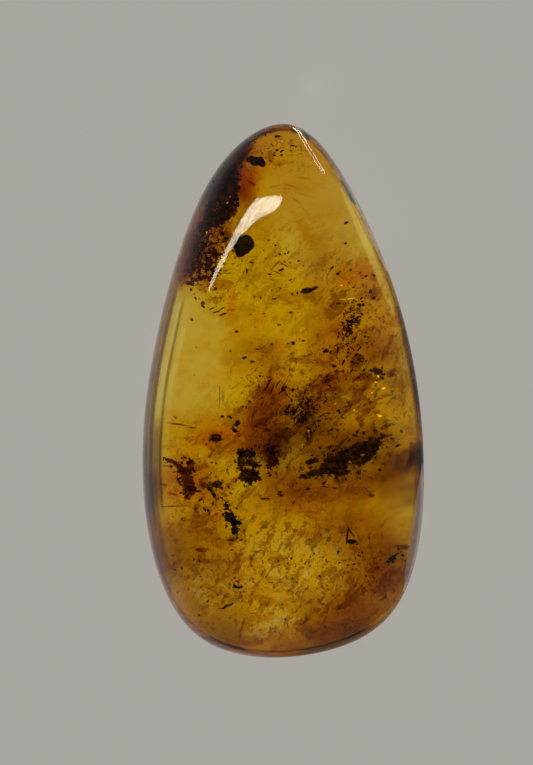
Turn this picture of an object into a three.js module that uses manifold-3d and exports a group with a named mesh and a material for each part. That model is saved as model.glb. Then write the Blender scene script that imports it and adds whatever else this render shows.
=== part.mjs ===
// A polished amber pebble, drop shaped, with a high dome in front and a flatter, rounded back, lying on its back.
// Millimetres, +Z up. The origin is on the resting face, under the middle of the pebble; the tip points to +Y.
// Plant debris caught between two flows of resin lies inside, so the amber is parted along that flow plane
// and each piece of debris has a pocket that is shared by the two halves.
import * as THREE from "three";
import { mergeVertices } from "three/addons/utils/BufferGeometryUtils.js";
import Module from "manifold-3d";

const wasm = await Module();
wasm.setup();

// Driving dimensions of the pebble
const LENGTH = 25;
const WIDTH = 13.2;
const GIRDLE_HEIGHT = 1.75; // the widest line of the pebble, above the resting face
const FRONT_RISE = 4.45; // the upper dome, above the girdle
const FLAT_SPOT_CUT = 0.01; // how much of the lower dome is rubbed away where it rests
const CORE = new THREE.Vector2(0, -1.2); // the top of both domes, seen from above

// Both domes are superellipse sections: a larger power gives a flatter face and a tighter shoulder
const FRONT_FACE_POWER = 2.5;
const BACK_FACE_POWER = 5;
const SEGMENTS_AROUND = 54;
const ROWS_OVER = 20;

// The debris lies along the surface of one flow of resin
const FLOW_HEIGHT = 2.5; // at the origin, above the resting face
const FLOW_RISE_TO_TIP = THREE.MathUtils.degToRad(0.5);
const FLOW_RISE_TO_LEFT = THREE.MathUtils.degToRad(3);
const PARTING_GAP = 0.1;
const POCKET_GAP = 0.12;

const MERGE_DISTANCE = 1e-5; // vertices closer than this are one

// Guide points of the outline's closed B-spline, clockwise from the tip, seen from above
const OUTLINE_GUIDES = [
  [0.35, 13.33],
  [2.86, 10.2],
  [5.14, 5.26],
  [6.23, 0.96],
  [6.67, -3.26],
  [6.44, -8.17],
  [4.65, -11.79],
  [-0.55, -12.91],
  [-4.67, -11.89],
  [-6.45, -7.4],
  [-6.72, -2.62],
  [-6.21, 1.42],
  [-5.16, 5.9],
  [-3.29, 10.85],
].map(([x, y]) => new THREE.Vector2(x, y));

// The outline's point at a share of the way round, from 0 to 1
function rawOutlineAt(share) {
  const count = OUTLINE_GUIDES.length;
  const along = THREE.MathUtils.euclideanModulo(share, 1) * count;
  const first = Math.floor(along);
  const f = along - first;
  const weights = [
    (1 - f) ** 3,
    3 * f ** 3 - 6 * f ** 2 + 4,
    -3 * f ** 3 + 3 * f ** 2 + 3 * f + 1,
    f ** 3,
  ];
  const point = new THREE.Vector2();
  weights.forEach((weight, k) => {
    const guide = OUTLINE_GUIDES[(first + k - 1 + count) % count];
    point.addScaledVector(guide, weight / 6);
  });
  return point;
}

// The same outline, centred on the origin and brought to the stated length and width
const outlineBox = new THREE.Box2();
const BOX_STEPS = 2000;
for (let i = 0; i < BOX_STEPS; i++) {
  outlineBox.expandByPoint(rawOutlineAt(i / BOX_STEPS));
}
const outlineCentre = outlineBox.getCenter(new THREE.Vector2());
const outlineSize = outlineBox.getSize(new THREE.Vector2());
const outlineScale = new THREE.Vector2(WIDTH, LENGTH).divide(outlineSize);
function outlineAt(share) {
  return rawOutlineAt(share).sub(outlineCentre).multiply(outlineScale);
}

// A closed geometry as a solid that can be cut
function solidOf(geometry) {
  const bare = geometry.clone();
  bare.deleteAttribute("normal");
  bare.deleteAttribute("uv");
  const merged = mergeVertices(bare, MERGE_DISTANCE);
  return new wasm.Manifold(
    new wasm.Mesh({
      numProp: 3,
      vertProperties: new Float32Array(merged.attributes.position.array),
      triVerts: new Uint32Array(merged.index.array),
    }),
  );
}

// A solid as a geometry that can be shown, with flat facets
function geometryOf(solid) {
  const { numProp, vertProperties, triVerts } = solid.getMesh();
  const points = new Float32Array((vertProperties.length / numProp) * 3);
  for (let i = 0; i < points.length / 3; i++) {
    points.set(
      vertProperties.subarray(i * numProp, i * numProp + 3),
      i * 3,
    );
  }
  const geometry = new THREE.BufferGeometry();
  geometry.setAttribute("position", new THREE.BufferAttribute(points, 3));
  geometry.setIndex(new THREE.BufferAttribute(new Uint32Array(triVerts), 1));
  geometry.computeVertexNormals();
  return geometry;
}

// The whole pebble before it is parted: a sphere drawn out to the outline and the two domes
function pebbleSolid() {
  const geometry = new THREE.SphereGeometry(1, SEGMENTS_AROUND, ROWS_OVER);
  geometry.rotateX(Math.PI / 2);
  const backRise = GIRDLE_HEIGHT + FLAT_SPOT_CUT;
  const position = geometry.attributes.position;
  const point = new THREE.Vector3();
  for (let i = 0; i < position.count; i++) {
    point.fromBufferAttribute(position, i);
    const front = point.z > 0;
    const power = front ? FRONT_FACE_POWER : BACK_FACE_POWER;
    const rise = front ? FRONT_RISE : backRise;
    const reach = Math.hypot(point.x, point.y) ** (2 / power);
    const clockwise = Math.atan2(point.x, point.y) / (2 * Math.PI);
    const onPlan = outlineAt(clockwise).sub(CORE).multiplyScalar(reach);
    onPlan.add(CORE);
    position.setXYZ(i, onPlan.x, onPlan.y, GIRDLE_HEIGHT + point.z * rise);
  }
  return solidOf(geometry).subtract(slabBelow(0));
}

// A block that reaches from a height down past everything
function slabBelow(height) {
  const geometry = new THREE.BoxGeometry(2 * LENGTH, 2 * LENGTH, LENGTH);
  geometry.translate(0, 0, height - LENGTH / 2);
  return solidOf(geometry);
}

// The flow plane's height at a place on the plan
function flowHeightAt(x, y) {
  const toTip = y * Math.tan(FLOW_RISE_TO_TIP);
  const toLeft = -x * Math.tan(FLOW_RISE_TO_LEFT);
  return FLOW_HEIGHT + toTip + toLeft;
}

// Everything on one side of the flow plane, half the parting gap away from it
function sideOfFlow(above) {
  const geometry = new THREE.BoxGeometry(2 * LENGTH, 2 * LENGTH, LENGTH);
  const away = (LENGTH + PARTING_GAP) / 2;
  geometry.translate(0, 0, above ? away : -away);
  const position = geometry.attributes.position;
  for (let i = 0; i < position.count; i++) {
    const x = position.getX(i);
    const y = position.getY(i);
    position.setZ(i, position.getZ(i) + flowHeightAt(x, y));
  }
  return solidOf(geometry);
}

// The debris, largest first. at: its place on the plan. half: half its length, width and thickness.
// turn: how far its length is turned from +X, in degrees. ragged: how far its surface wanders, as a share.
// lift: how far its middle is from the flow plane.
const DEBRIS = [
  {
    name: "bark_crust_at_shoulder",
    at: [-2.64, 8.8],
    half: [1.55, 0.5, 0.44],
    turn: 68,
    ragged: 0.2,
    lift: 0.05,
    tone: "rust",
  },
  {
    name: "bark_fragment_right",
    at: [2.74, -3.07],
    half: [1.95, 0.56, 0.5],
    turn: 29,
    ragged: 0.28,
    lift: 0.2,
    tone: "char",
  },
  {
    name: "crumbled_bark_left",
    at: [-3.12, 6.0],
    half: [1.1, 0.6, 0.46],
    turn: 75,
    ragged: 0.2,
    lift: 0,
    tone: "rust",
  },
  {
    name: "square_wood_chip",
    at: [-1.48, -3.48],
    half: [0.8, 0.56, 0.42],
    turn: 97,
    ragged: 0.24,
    lift: -0.1,
    tone: "char",
  },
  {
    name: "speckled_clump_upper_right",
    at: [2.7, 2.99],
    half: [0.95, 0.5, 0.42],
    turn: 66,
    ragged: 0.34,
    lift: 0.1,
    tone: "rust",
  },
  {
    name: "rusty_fragment_left",
    at: [-4.03, -4.05],
    half: [0.95, 0.4, 0.38],
    turn: -62,
    ragged: 0.3,
    lift: -0.1,
    tone: "rust",
  },
  {
    name: "winged_chip_left",
    at: [-2.19, -5.98],
    half: [0.85, 0.38, 0.34],
    turn: -74,
    ragged: 0.34,
    lift: 0.05,
    tone: "char",
  },
  {
    name: "crumb_cluster_centre",
    at: [0.57, -0.96],
    half: [0.62, 0.5, 0.36],
    turn: 20,
    ragged: 0.32,
    lift: 0.1,
    tone: "char",
  },
  {
    name: "brown_lump_beside_chip",
    at: [-0.55, -2.97],
    half: [0.56, 0.34, 0.3],
    turn: 100,
    ragged: 0.22,
    lift: -0.1,
    tone: "rust",
  },
  {
    name: "round_pellet",
    at: [-1.57, 6.51],
    half: [0.54, 0.47, 0.42],
    turn: 70,
    ragged: 0.08,
    lift: 0.18,
    tone: "black",
  },
  {
    name: "wood_chip_near_tip",
    at: [-1.12, 10.36],
    half: [0.52, 0.32, 0.26],
    turn: -8,
    ragged: 0.2,
    lift: -0.05,
    tone: "black",
  },
  {
    name: "forked_chip_left",
    at: [-2.94, -4.43],
    half: [0.5, 0.32, 0.26],
    turn: 12,
    ragged: 0.3,
    lift: 0,
    tone: "rust",
  },
  {
    name: "looped_sliver_lower_right",
    at: [2.87, -6.62],
    half: [0.52, 0.28, 0.22],
    turn: -76,
    ragged: 0.24,
    lift: 0.08,
    tone: "char",
  },
  {
    name: "crumb_right",
    at: [3.79, 0.69],
    half: [0.4, 0.26, 0.24],
    turn: 35,
    ragged: 0.28,
    lift: 0,
    tone: "rust",
  },
  {
    name: "hollow_chip_centre",
    at: [-2.0, -1.66],
    half: [0.42, 0.26, 0.24],
    turn: 80,
    ragged: 0.26,
    lift: 0.08,
    tone: "char",
  },
  {
    name: "dark_sliver_near_base",
    at: [-2.45, -9.64],
    half: [0.42, 0.17, 0.17],
    turn: 26,
    ragged: 0.14,
    lift: 0,
    tone: "black",
  },
  {
    name: "leaf_flake_near_base",
    at: [-1.98, -8.75],
    half: [0.3, 0.17, 0.15],
    turn: -6,
    ragged: 0.26,
    lift: 0,
    tone: "char",
  },
  {
    name: "spore_ball_left",
    at: [-2.81, -2.17],
    half: [0.28, 0.27, 0.26],
    turn: 0,
    ragged: 0.12,
    lift: -0.05,
    tone: "rust",
  },
  {
    name: "speck_near_lower_rim",
    at: [4.45, -7.51],
    half: [0.36, 0.24, 0.2],
    turn: 30,
    ragged: 0.26,
    lift: 0,
    tone: "char",
  },
];

// Debris at least this long, halved, has a mesh of this fineness
const MESH_DETAIL = [
  { from: 1.5, detail: 3 },
  { from: 0.6, detail: 2 },
  { from: 0, detail: 1 },
];

// The waves that a crumb's surface wanders by: how fast each runs over the directions from its middle,
// how far the crumb's seed shifts it, and its share of the whole
const WANDER_WAVES = [
  { pitch: new THREE.Vector3(3.1, 2.7, 0.8), shift: 1.7, share: 0.45 },
  { pitch: new THREE.Vector3(4.1, -1.2, 5.3), shift: 2.3, share: 0.3 },
  { pitch: new THREE.Vector3(-6.1, 7.9, 2.2), shift: 3.1, share: 0.25 },
];

// How far the surface of a crumb wanders at a direction from its middle, from -1 to 1
function wander(direction, seed) {
  return WANDER_WAVES.reduce((sum, { pitch, shift, share }) => {
    return sum + share * Math.sin(direction.dot(pitch) + shift * seed);
  }, 0);
}

// One ragged crumb, or with a gap the pocket that it lies in
function crumbSolid(crumb, seed, gap = 0) {
  const { detail } = MESH_DETAIL.find(({ from }) => crumb.half[0] >= from);
  const geometry = new THREE.IcosahedronGeometry(1, detail);
  const position = geometry.attributes.position;
  const direction = new THREE.Vector3();
  const [length, width, thickness] = crumb.half.map((half) => half + gap);
  for (let i = 0; i < position.count; i++) {
    direction.fromBufferAttribute(position, i).normalize();
    const swell = 1 + crumb.ragged * wander(direction, seed);
    position.setXYZ(
      i,
      direction.x * length * swell,
      direction.y * width * swell,
      direction.z * thickness * swell,
    );
  }
  const [x, y] = crumb.at;
  geometry.rotateZ(THREE.MathUtils.degToRad(crumb.turn));
  geometry.translate(x, y, flowHeightAt(x, y) + crumb.lift);
  return solidOf(geometry);
}

const FINISH = {
  amber: new THREE.MeshStandardMaterial({
    color: "#c08a12",
    roughness: 0.06,
    metalness: 0,
    transparent: true,
    opacity: 0.55,
  }),
  black: new THREE.MeshStandardMaterial({ color: "#16150f", roughness: 0.8 }),
  char: new THREE.MeshStandardMaterial({ color: "#2a1c0c", roughness: 0.85 }),
  rust: new THREE.MeshStandardMaterial({ color: "#4a200c", roughness: 0.85 }),
};

function namedMesh(name, solid, material) {
  const mesh = new THREE.Mesh(geometryOf(solid), material);
  mesh.name = name;
  return mesh;
}

// One half of the amber, with its share of every pocket
function amberHalf(pebble, above) {
  let half = pebble.intersect(sideOfFlow(above));
  DEBRIS.forEach((crumb, seed) => {
    half = half.subtract(crumbSolid(crumb, seed, POCKET_GAP));
  });
  return half;
}

const pebble = pebbleSolid();
const part = new THREE.Group();
part.add(namedMesh("amber_upper_half", amberHalf(pebble, true), FINISH.amber));
part.add(namedMesh("amber_lower_half", amberHalf(pebble, false), FINISH.amber));
DEBRIS.forEach((crumb, seed) => {
  const solid = crumbSolid(crumb, seed);
  part.add(namedMesh(crumb.name, solid, FINISH[crumb.tone]));
});

export default part;
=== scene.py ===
"""The looks of a polished amber pebble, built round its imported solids.

The classes hold their sizes in millimetres, in the same frame as the solids, and a finished mesh is
brought to Blender's metres in one place.
"""

from __future__ import annotations

import bisect
import logging
import math
import random
from dataclasses import dataclass, field, replace
from enum import Enum

import bmesh
import bpy
from mathutils import Euler, Matrix, Vector, noise
from mathutils.kdtree import KDTree

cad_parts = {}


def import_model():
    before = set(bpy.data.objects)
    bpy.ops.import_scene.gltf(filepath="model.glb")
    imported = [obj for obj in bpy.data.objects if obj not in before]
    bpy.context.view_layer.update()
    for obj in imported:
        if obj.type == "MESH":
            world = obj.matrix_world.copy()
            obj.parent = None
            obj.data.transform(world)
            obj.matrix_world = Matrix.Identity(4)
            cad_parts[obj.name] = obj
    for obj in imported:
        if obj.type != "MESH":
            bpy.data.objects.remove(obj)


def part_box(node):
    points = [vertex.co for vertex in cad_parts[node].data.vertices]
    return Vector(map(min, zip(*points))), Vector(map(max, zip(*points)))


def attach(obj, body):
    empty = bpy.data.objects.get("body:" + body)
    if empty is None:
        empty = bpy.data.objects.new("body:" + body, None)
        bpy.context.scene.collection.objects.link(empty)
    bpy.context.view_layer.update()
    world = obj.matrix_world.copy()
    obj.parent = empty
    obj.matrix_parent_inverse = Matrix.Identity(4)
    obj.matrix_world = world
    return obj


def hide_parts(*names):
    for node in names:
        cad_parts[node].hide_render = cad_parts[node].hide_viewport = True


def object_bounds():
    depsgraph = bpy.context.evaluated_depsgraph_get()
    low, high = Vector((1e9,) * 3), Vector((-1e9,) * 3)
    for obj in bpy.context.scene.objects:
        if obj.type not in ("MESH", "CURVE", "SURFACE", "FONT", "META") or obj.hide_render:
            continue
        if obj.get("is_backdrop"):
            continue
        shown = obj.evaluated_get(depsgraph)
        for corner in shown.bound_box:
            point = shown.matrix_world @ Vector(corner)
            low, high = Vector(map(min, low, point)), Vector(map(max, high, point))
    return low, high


log = logging.getLogger("amber_pebble")

METRES_PER_MM = 0.001
BODY = "root"
AMBER_HALVES = ("amber_upper_half", "amber_lower_half")
# How much amber bends light in air, and how much resin and bark sealed in it do against the amber
AMBER_INDEX = 1.54
SEALED_RESIN_INDEX = 1.0
SEALED_BARK_INDEX = 1.02


def linear(colour: str) -> tuple[float, float, float, float]:
    """Turns an sRGB colour into the linear one that a shader takes.

    Args:
        colour: The sRGB colour as "#rrggbb".

    Returns:
        Linear red, green and blue, and an alpha of 1.
    """
    parts = [int(colour[i : i + 2], 16) / 255 for i in (1, 3, 5)]
    low_end, gamma = 0.04045, 2.4
    made = [c / 12.92 if c <= low_end else ((c + 0.055) / 1.055) ** gamma for c in parts]
    return (made[0], made[1], made[2], 1.0)


def add_node(
    tree: bpy.types.NodeTree,
    kind: str,
    settings: dict[str, object] | None = None,
    inputs: dict[str | int, object] | None = None,
) -> bpy.types.Node:
    """Adds a node to a tree, with its settings, its input values and its links.

    Args:
        tree: The node tree.
        kind: The node's type name.
        settings: Properties of the node itself, by name.
        inputs: Input sockets by name or number, each with a value or the output socket that feeds it.

    Returns:
        The new node.
    """
    made = tree.nodes.new(kind)
    for name, value in (settings or {}).items():
        setattr(made, name, value)
    for key, value in (inputs or {}).items():
        socket = made.inputs[key]
        if isinstance(value, bpy.types.NodeSocket):
            tree.links.new(value, socket)
        else:
            socket.default_value = value
    return made


def new_material(name: str) -> bpy.types.Material:
    """Makes an empty node material with that name."""
    material = bpy.data.materials.new(name)
    material.use_nodes = True
    material.node_tree.nodes.clear()
    return material


def smooth_share(
    tree: bpy.types.NodeTree,
    value: bpy.types.NodeSocket,
    low: float,
    high: float,
    least: float = 0.0,
    most: float = 1.0,
) -> bpy.types.NodeSocket:
    """Adds a smooth step.

    Args:
        tree: The node tree.
        value: What the step follows.
        low: The value at which it begins.
        high: The value at which it ends.
        least: What it gives at its beginning.
        most: What it gives at its end.

    Returns:
        The socket with the step.
    """
    return add_node(
        tree,
        "ShaderNodeMapRange",
        {"interpolation_type": "SMOOTHSTEP"},
        {"Value": value, "From Min": low, "From Max": high, "To Min": least, "To Max": most},
    ).outputs[0]


def mixed(
    tree: bpy.types.NodeTree,
    blend: Blend,
    share: bpy.types.NodeSocket,
    below: bpy.types.NodeSocket | tuple[float, ...],
    colour: str,
) -> bpy.types.NodeSocket:
    """Adds one colour over a tint.

    Args:
        tree: The material's node tree.
        blend: How the colour changes the tint.
        share: How much of the colour shows.
        below: The tint below.
        colour: The sRGB colour as "#rrggbb".

    Returns:
        The socket with the new tint.
    """
    return add_node(
        tree,
        "ShaderNodeMix",
        {"data_type": "RGBA", "blend_type": blend.value},
        {0: share, 6: below, 7: linear(colour)},
    ).outputs[2]


def sealed_resin(
    tree: bpy.types.NodeTree, tint: bpy.types.NodeSocket | tuple[float, ...]
) -> bpy.types.NodeSocket:
    """Adds the surface of resin sealed in the amber, which bends no light there, so only tint shows."""
    return add_node(
        tree,
        "ShaderNodeBsdfPrincipled",
        inputs={
            "Base Color": tint,
            "Roughness": 0.0,
            "IOR": SEALED_RESIN_INDEX,
            "Transmission Weight": 1.0,
        },
    ).outputs[0]


def add_output(
    tree: bpy.types.NodeTree,
    surface: bpy.types.NodeSocket,
    volume: bpy.types.NodeSocket | None = None,
) -> None:
    """Adds the output of a material, with its surface and, where it has one, its volume."""
    inputs = {"Surface": surface}
    if volume is not None:
        inputs["Volume"] = volume
    add_node(tree, "ShaderNodeOutputMaterial", inputs=inputs)


def finished_piece(
    name: str,
    mesh: bmesh.types.BMesh,
    material: bpy.types.Material,
    smooth: bool = True,
) -> bpy.types.Object:
    """Turns a bmesh in millimetres into an object in metres at the origin, with its finish.

    Args:
        name: The piece's name.
        mesh: Its mesh, which is freed here.
        material: Its finish.
        smooth: Whether its faces are shaded smooth.

    Returns:
        The new object, linked to the scene.
    """
    bmesh.ops.scale(mesh, vec=(METRES_PER_MM,) * 3, verts=mesh.verts)
    for face in mesh.faces:
        face.smooth = smooth
    data = bpy.data.meshes.new(name)
    mesh.to_mesh(data)
    mesh.free()
    data.materials.append(material)
    piece = bpy.data.objects.new(name, data)
    bpy.context.scene.collection.objects.link(piece)
    return piece


@dataclass
class DropForm:
    """The polished drop: an outline seen from above, with a dome on each side of its widest line.

    The fields repeat the driving dimensions of the solids.
    """

    length: float
    width: float
    thickness: float
    girdle_height: float = 1.75
    flat_spot_cut: float = 0.01
    core: tuple[float, float] = (0.0, -1.2)
    front_power: float = 2.5
    back_power: float = 5.0
    guides: tuple[tuple[float, float], ...] = (
        (0.35, 13.33),
        (2.86, 10.2),
        (5.14, 5.26),
        (6.23, 0.96),
        (6.67, -3.26),
        (6.44, -8.17),
        (4.65, -11.79),
        (-0.55, -12.91),
        (-4.67, -11.89),
        (-6.45, -7.4),
        (-6.72, -2.62),
        (-6.21, 1.42),
        (-5.16, 5.9),
        (-3.29, 10.85),
    )
    table_steps: int = 1440
    refractive_index: float = AMBER_INDEX
    middle: Vector = field(init=False)
    stretch: Vector = field(init=False)
    bearings: list[float] = field(init=False)
    spans: list[float] = field(init=False)
    edge: KDTree = field(init=False)

    def __post_init__(self) -> None:
        """Centres the outline, brings it to size and notes how far away it is on every bearing."""
        self.middle, self.stretch = Vector((0, 0)), Vector((1, 1))
        raw = [self.outline(i / self.table_steps) for i in range(self.table_steps)]
        low = Vector((min(p.x for p in raw), min(p.y for p in raw)))
        high = Vector((max(p.x for p in raw), max(p.y for p in raw)))
        self.middle = (low + high) / 2
        self.stretch = Vector((self.width / (high.x - low.x), self.length / (high.y - low.y)))
        rows = []
        for i in range(self.table_steps):
            out = self.outline(i / self.table_steps) - Vector(self.core)
            rows.append((math.atan2(out.x, out.y) % math.tau, out.length))
        rows.sort()
        self.bearings = [row[0] for row in rows]
        self.spans = [row[1] for row in rows]
        steps = self.table_steps * 4
        self.edge = KDTree(steps)
        for i in range(steps):
            self.edge.insert(self.outline(i / steps).to_3d(), i)
        self.edge.balance()

    @property
    def front_rise(self) -> float:
        """Height of the upper dome above the girdle."""
        return self.thickness - self.girdle_height

    @property
    def back_rise(self) -> float:
        """Depth of the lower dome below the girdle, before its flat spot."""
        return self.girdle_height + self.flat_spot_cut

    def outline(self, share: float) -> Vector:
        """Gives a point of the outline.

        Args:
            share: The share of the way round, clockwise from the tip.

        Returns:
            The point seen from above.
        """
        count = len(self.guides)
        along = (share % 1) * count
        first = math.floor(along)
        f = along - first
        weights = ((1 - f) ** 3, 3 * f**3 - 6 * f**2 + 4, -3 * f**3 + 3 * f**2 + 3 * f + 1, f**3)
        point = Vector((0, 0))
        for k, weight in enumerate(weights):
            point += Vector(self.guides[(first + k - 1) % count]) * (weight / 6)
        point -= self.middle
        return Vector((point.x * self.stretch.x, point.y * self.stretch.y))

    def on_skin(self, direction: Vector) -> Vector:
        """Draws a point of the unit sphere out to the drop's skin.

        Args:
            direction: The point on the unit sphere.

        Returns:
            The point on the skin, where the flat spot is at height 0.
        """
        front = direction.z > 0
        power = self.front_power if front else self.back_power
        rise = self.front_rise if front else self.back_rise
        reach = math.hypot(direction.x, direction.y) ** (2 / power)
        clockwise = math.atan2(direction.x, direction.y) / math.tau
        core = Vector(self.core)
        flat = core + (self.outline(clockwise) - core) * reach
        return Vector((flat.x, flat.y, max(self.girdle_height + direction.z * rise, 0.0)))

    def reach(self, x: float, y: float) -> float:
        """Gives how far out a place is, from 0 over the core to 1 on the outline."""
        out = Vector((x, y)) - Vector(self.core)
        bearing = math.atan2(out.x, out.y) % math.tau
        after = bisect.bisect(self.bearings, bearing)
        low, high = self.bearings[after - 1], self.bearings[after % self.table_steps]
        share = ((bearing - low) % math.tau) / ((high - low) % math.tau)
        span = self.spans[after - 1] * (1 - share) + self.spans[after % self.table_steps] * share
        return out.length / span

    def depth_in(self, point: Vector) -> float:
        """Gives how far in from the outline a point lies, seen from above."""
        return self.edge.find((point.x, point.y, 0))[2]

    def skin(self, x: float, y: float) -> tuple[float, float]:
        """Gives the heights of the lower and upper skin at a place seen from above."""
        reach = min(self.reach(x, y), 1.0)
        low = self.girdle_height - self.back_rise * math.sqrt(1 - reach**self.back_power)
        high = self.girdle_height + self.front_rise * math.sqrt(1 - reach**self.front_power)
        return max(low, 0.0), high

    def upper_normal(self, x: float, y: float) -> Vector:
        """Gives the way that the upper skin faces at a place seen from above."""
        step = 0.02
        slope_x = (self.skin(x + step, y)[1] - self.skin(x - step, y)[1]) / (2 * step)
        slope_y = (self.skin(x, y + step)[1] - self.skin(x, y - step)[1]) / (2 * step)
        return Vector((-slope_x, -slope_y, 1)).normalized()

    def seen_at(self, x: float, y: float, z: float) -> Vector:
        """Finds the place inside that shows at a place seen from above, through the curved skin.

        Args:
            x: Where it shows, across.
            y: Where it shows, along.
            z: The height that it lies at.

        Returns:
            The place inside.
        """
        top = self.skin(x, y)[1]
        normal = self.upper_normal(x, y)
        ratio = 1 / self.refractive_index
        facing = normal.z
        sideways = math.sqrt(1 - ratio**2 * (1 - facing**2))
        inward = Vector((0, 0, -ratio)) + normal * (ratio * facing - sideways)
        return Vector((x, y, top)) + inward * ((z - top) / inward.z)

    def mirrored(self, x: float, y: float, eye: Vector, away: float) -> Vector:
        """Finds a place that the upper skin mirrors to an eye.

        Args:
            x: Where the reflection shows, across.
            y: Where it shows, along.
            eye: Where it is seen from.
            away: How far the place is from the skin.

        Returns:
            The place.
        """
        spot = Vector((x, y, self.skin(x, y)[1]))
        normal = self.upper_normal(x, y)
        to_eye = (eye - spot).normalized()
        return spot + (normal * (2 * normal.dot(to_eye)) - to_eye) * away

    def kept_inside(self, point: Vector, margin: float) -> Vector:
        """Moves a point, if need be, so that it lies inside the skin.

        Args:
            point: The point.
            margin: The least depth under the skin.

        Returns:
            The point itself or the nearest place on the way to the core that lies inside.
        """
        flat = Vector((point.x, point.y))
        core = Vector(self.core)
        most = 1 - margin / (self.width / 2)
        reach = self.reach(flat.x, flat.y)
        if reach > most:
            flat = core + (flat - core) * (most / reach)
        low, high = self.skin(flat.x, flat.y)
        middle = (low + high) / 2
        room = max((high - low) / 2 - margin, 0.0)
        return Vector((flat.x, flat.y, middle + max(-room, min(room, point.z - middle))))


@dataclass(frozen=True)
class FlowPlane:
    """The surface of an old flow of resin, on which the debris settled."""

    height: float = 2.5
    rise_to_tip: float = math.radians(0.5)
    rise_to_left: float = math.radians(3)

    def at(self, x: float, y: float) -> float:
        """Gives the flow's height at a place seen from above."""
        return self.height + y * math.tan(self.rise_to_tip) - x * math.tan(self.rise_to_left)


class Blend(Enum):
    """How a cloud changes the tint of the resin: it stains it further, or washes it clear."""

    STAIN = "MULTIPLY"
    CLEAR = "MIX"


@dataclass(frozen=True)
class CloudZone:
    """A cloud in the resin, as an oval with a soft, wandering edge.

    at: its middle. half: its half sizes. colour: what it makes of white light. turn: how far its
    length is turned from +X, in degrees. depth: how much of it shows in its middle. soft: how far
    its edge fades, as a share of its size.
    """

    at: tuple[float, float]
    half: tuple[float, float]
    colour: str
    turn: float = 0.0
    depth: float = 1.0
    soft: float = 0.5
    blend: Blend = Blend.STAIN


def drifting(
    tree: bpy.types.NodeTree,
    wander_mm: float,
    reach_mm: float,
    zoom: tuple[float, float] = (1.0, 1.0),
) -> bpy.types.NodeSocket:
    """Adds the drift that makes clouds wander.

    Args:
        tree: The material's node tree.
        wander_mm: The size of the wandering.
        reach_mm: How far it moves a place.
        zoom: How much nearer to the middle a place lies than it shows, across and along.

    Returns:
        The socket with each point's place, pushed about by noise.
    """
    slower_with_height = 0.35
    shown = add_node(
        tree,
        "ShaderNodeMapping",
        {"vector_type": "TEXTURE"},
        {"Vector": add_node(tree, "ShaderNodeTexCoord").outputs["Object"], "Scale": (*zoom, 1)},
    ).outputs[0]
    flat = add_node(
        tree,
        "ShaderNodeMapping",
        {"vector_type": "POINT"},
        {"Vector": shown, "Scale": (1, 1, slower_with_height)},
    ).outputs[0]
    wander = add_node(
        tree,
        "ShaderNodeTexNoise",
        inputs={
            "Vector": flat,
            "Scale": 1 / (wander_mm * METRES_PER_MM),
            "Detail": 5.0,
            "Roughness": 0.62,
        },
    ).outputs["Color"]
    centred = add_node(
        tree, "ShaderNodeVectorMath", {"operation": "SUBTRACT"}, {0: wander, 1: (0.5, 0.5, 0.5)}
    ).outputs[0]
    reach = 2 * reach_mm * METRES_PER_MM
    return add_node(
        tree,
        "ShaderNodeVectorMath",
        {"operation": "MULTIPLY_ADD"},
        {0: centred, 1: (reach, reach, reach), 2: shown},
    ).outputs[0]


def zone_share(
    tree: bpy.types.NodeTree, zone: CloudZone, place: bpy.types.NodeSocket
) -> bpy.types.NodeSocket:
    """Adds one cloud's oval.

    Args:
        tree: The material's node tree.
        zone: The cloud.
        place: The drifting place of each point.

    Returns:
        The socket with how much of the cloud shows at each point.
    """
    middle_height, tall, reach = 3.0, 20.0, 2.0
    own = add_node(
        tree,
        "ShaderNodeMapping",
        {"vector_type": "TEXTURE"},
        {
            "Vector": place,
            "Location": Vector((*zone.at, middle_height)) * METRES_PER_MM,
            "Rotation": (0, 0, math.radians(zone.turn)),
            "Scale": Vector((*zone.half, tall)) * reach * METRES_PER_MM,
        },
    ).outputs[0]
    ball = add_node(tree, "ShaderNodeTexGradient", {"gradient_type": "SPHERICAL"}, {"Vector": own})
    rim, full = 1 - (1 + zone.soft) / reach, 1 - max(1 - zone.soft, 0.0) / reach
    return smooth_share(tree, ball.outputs["Fac"], rim, full, most=zone.depth)


def clouded(
    tree: bpy.types.NodeTree,
    zones: tuple[CloudZone, ...],
    place: bpy.types.NodeSocket,
    start: str,
) -> bpy.types.NodeSocket:
    """Adds the clouds one after another over a first tint.

    Args:
        tree: The material's node tree.
        zones: The clouds, in order.
        place: The drifting place of each point.
        start: The first tint as "#rrggbb".

    Returns:
        The socket with the tint at each point.
    """
    tint = linear(start)
    for zone in zones:
        tint = mixed(tree, zone.blend, zone_share(tree, zone, place), tint, zone.colour)
    return tint


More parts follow.
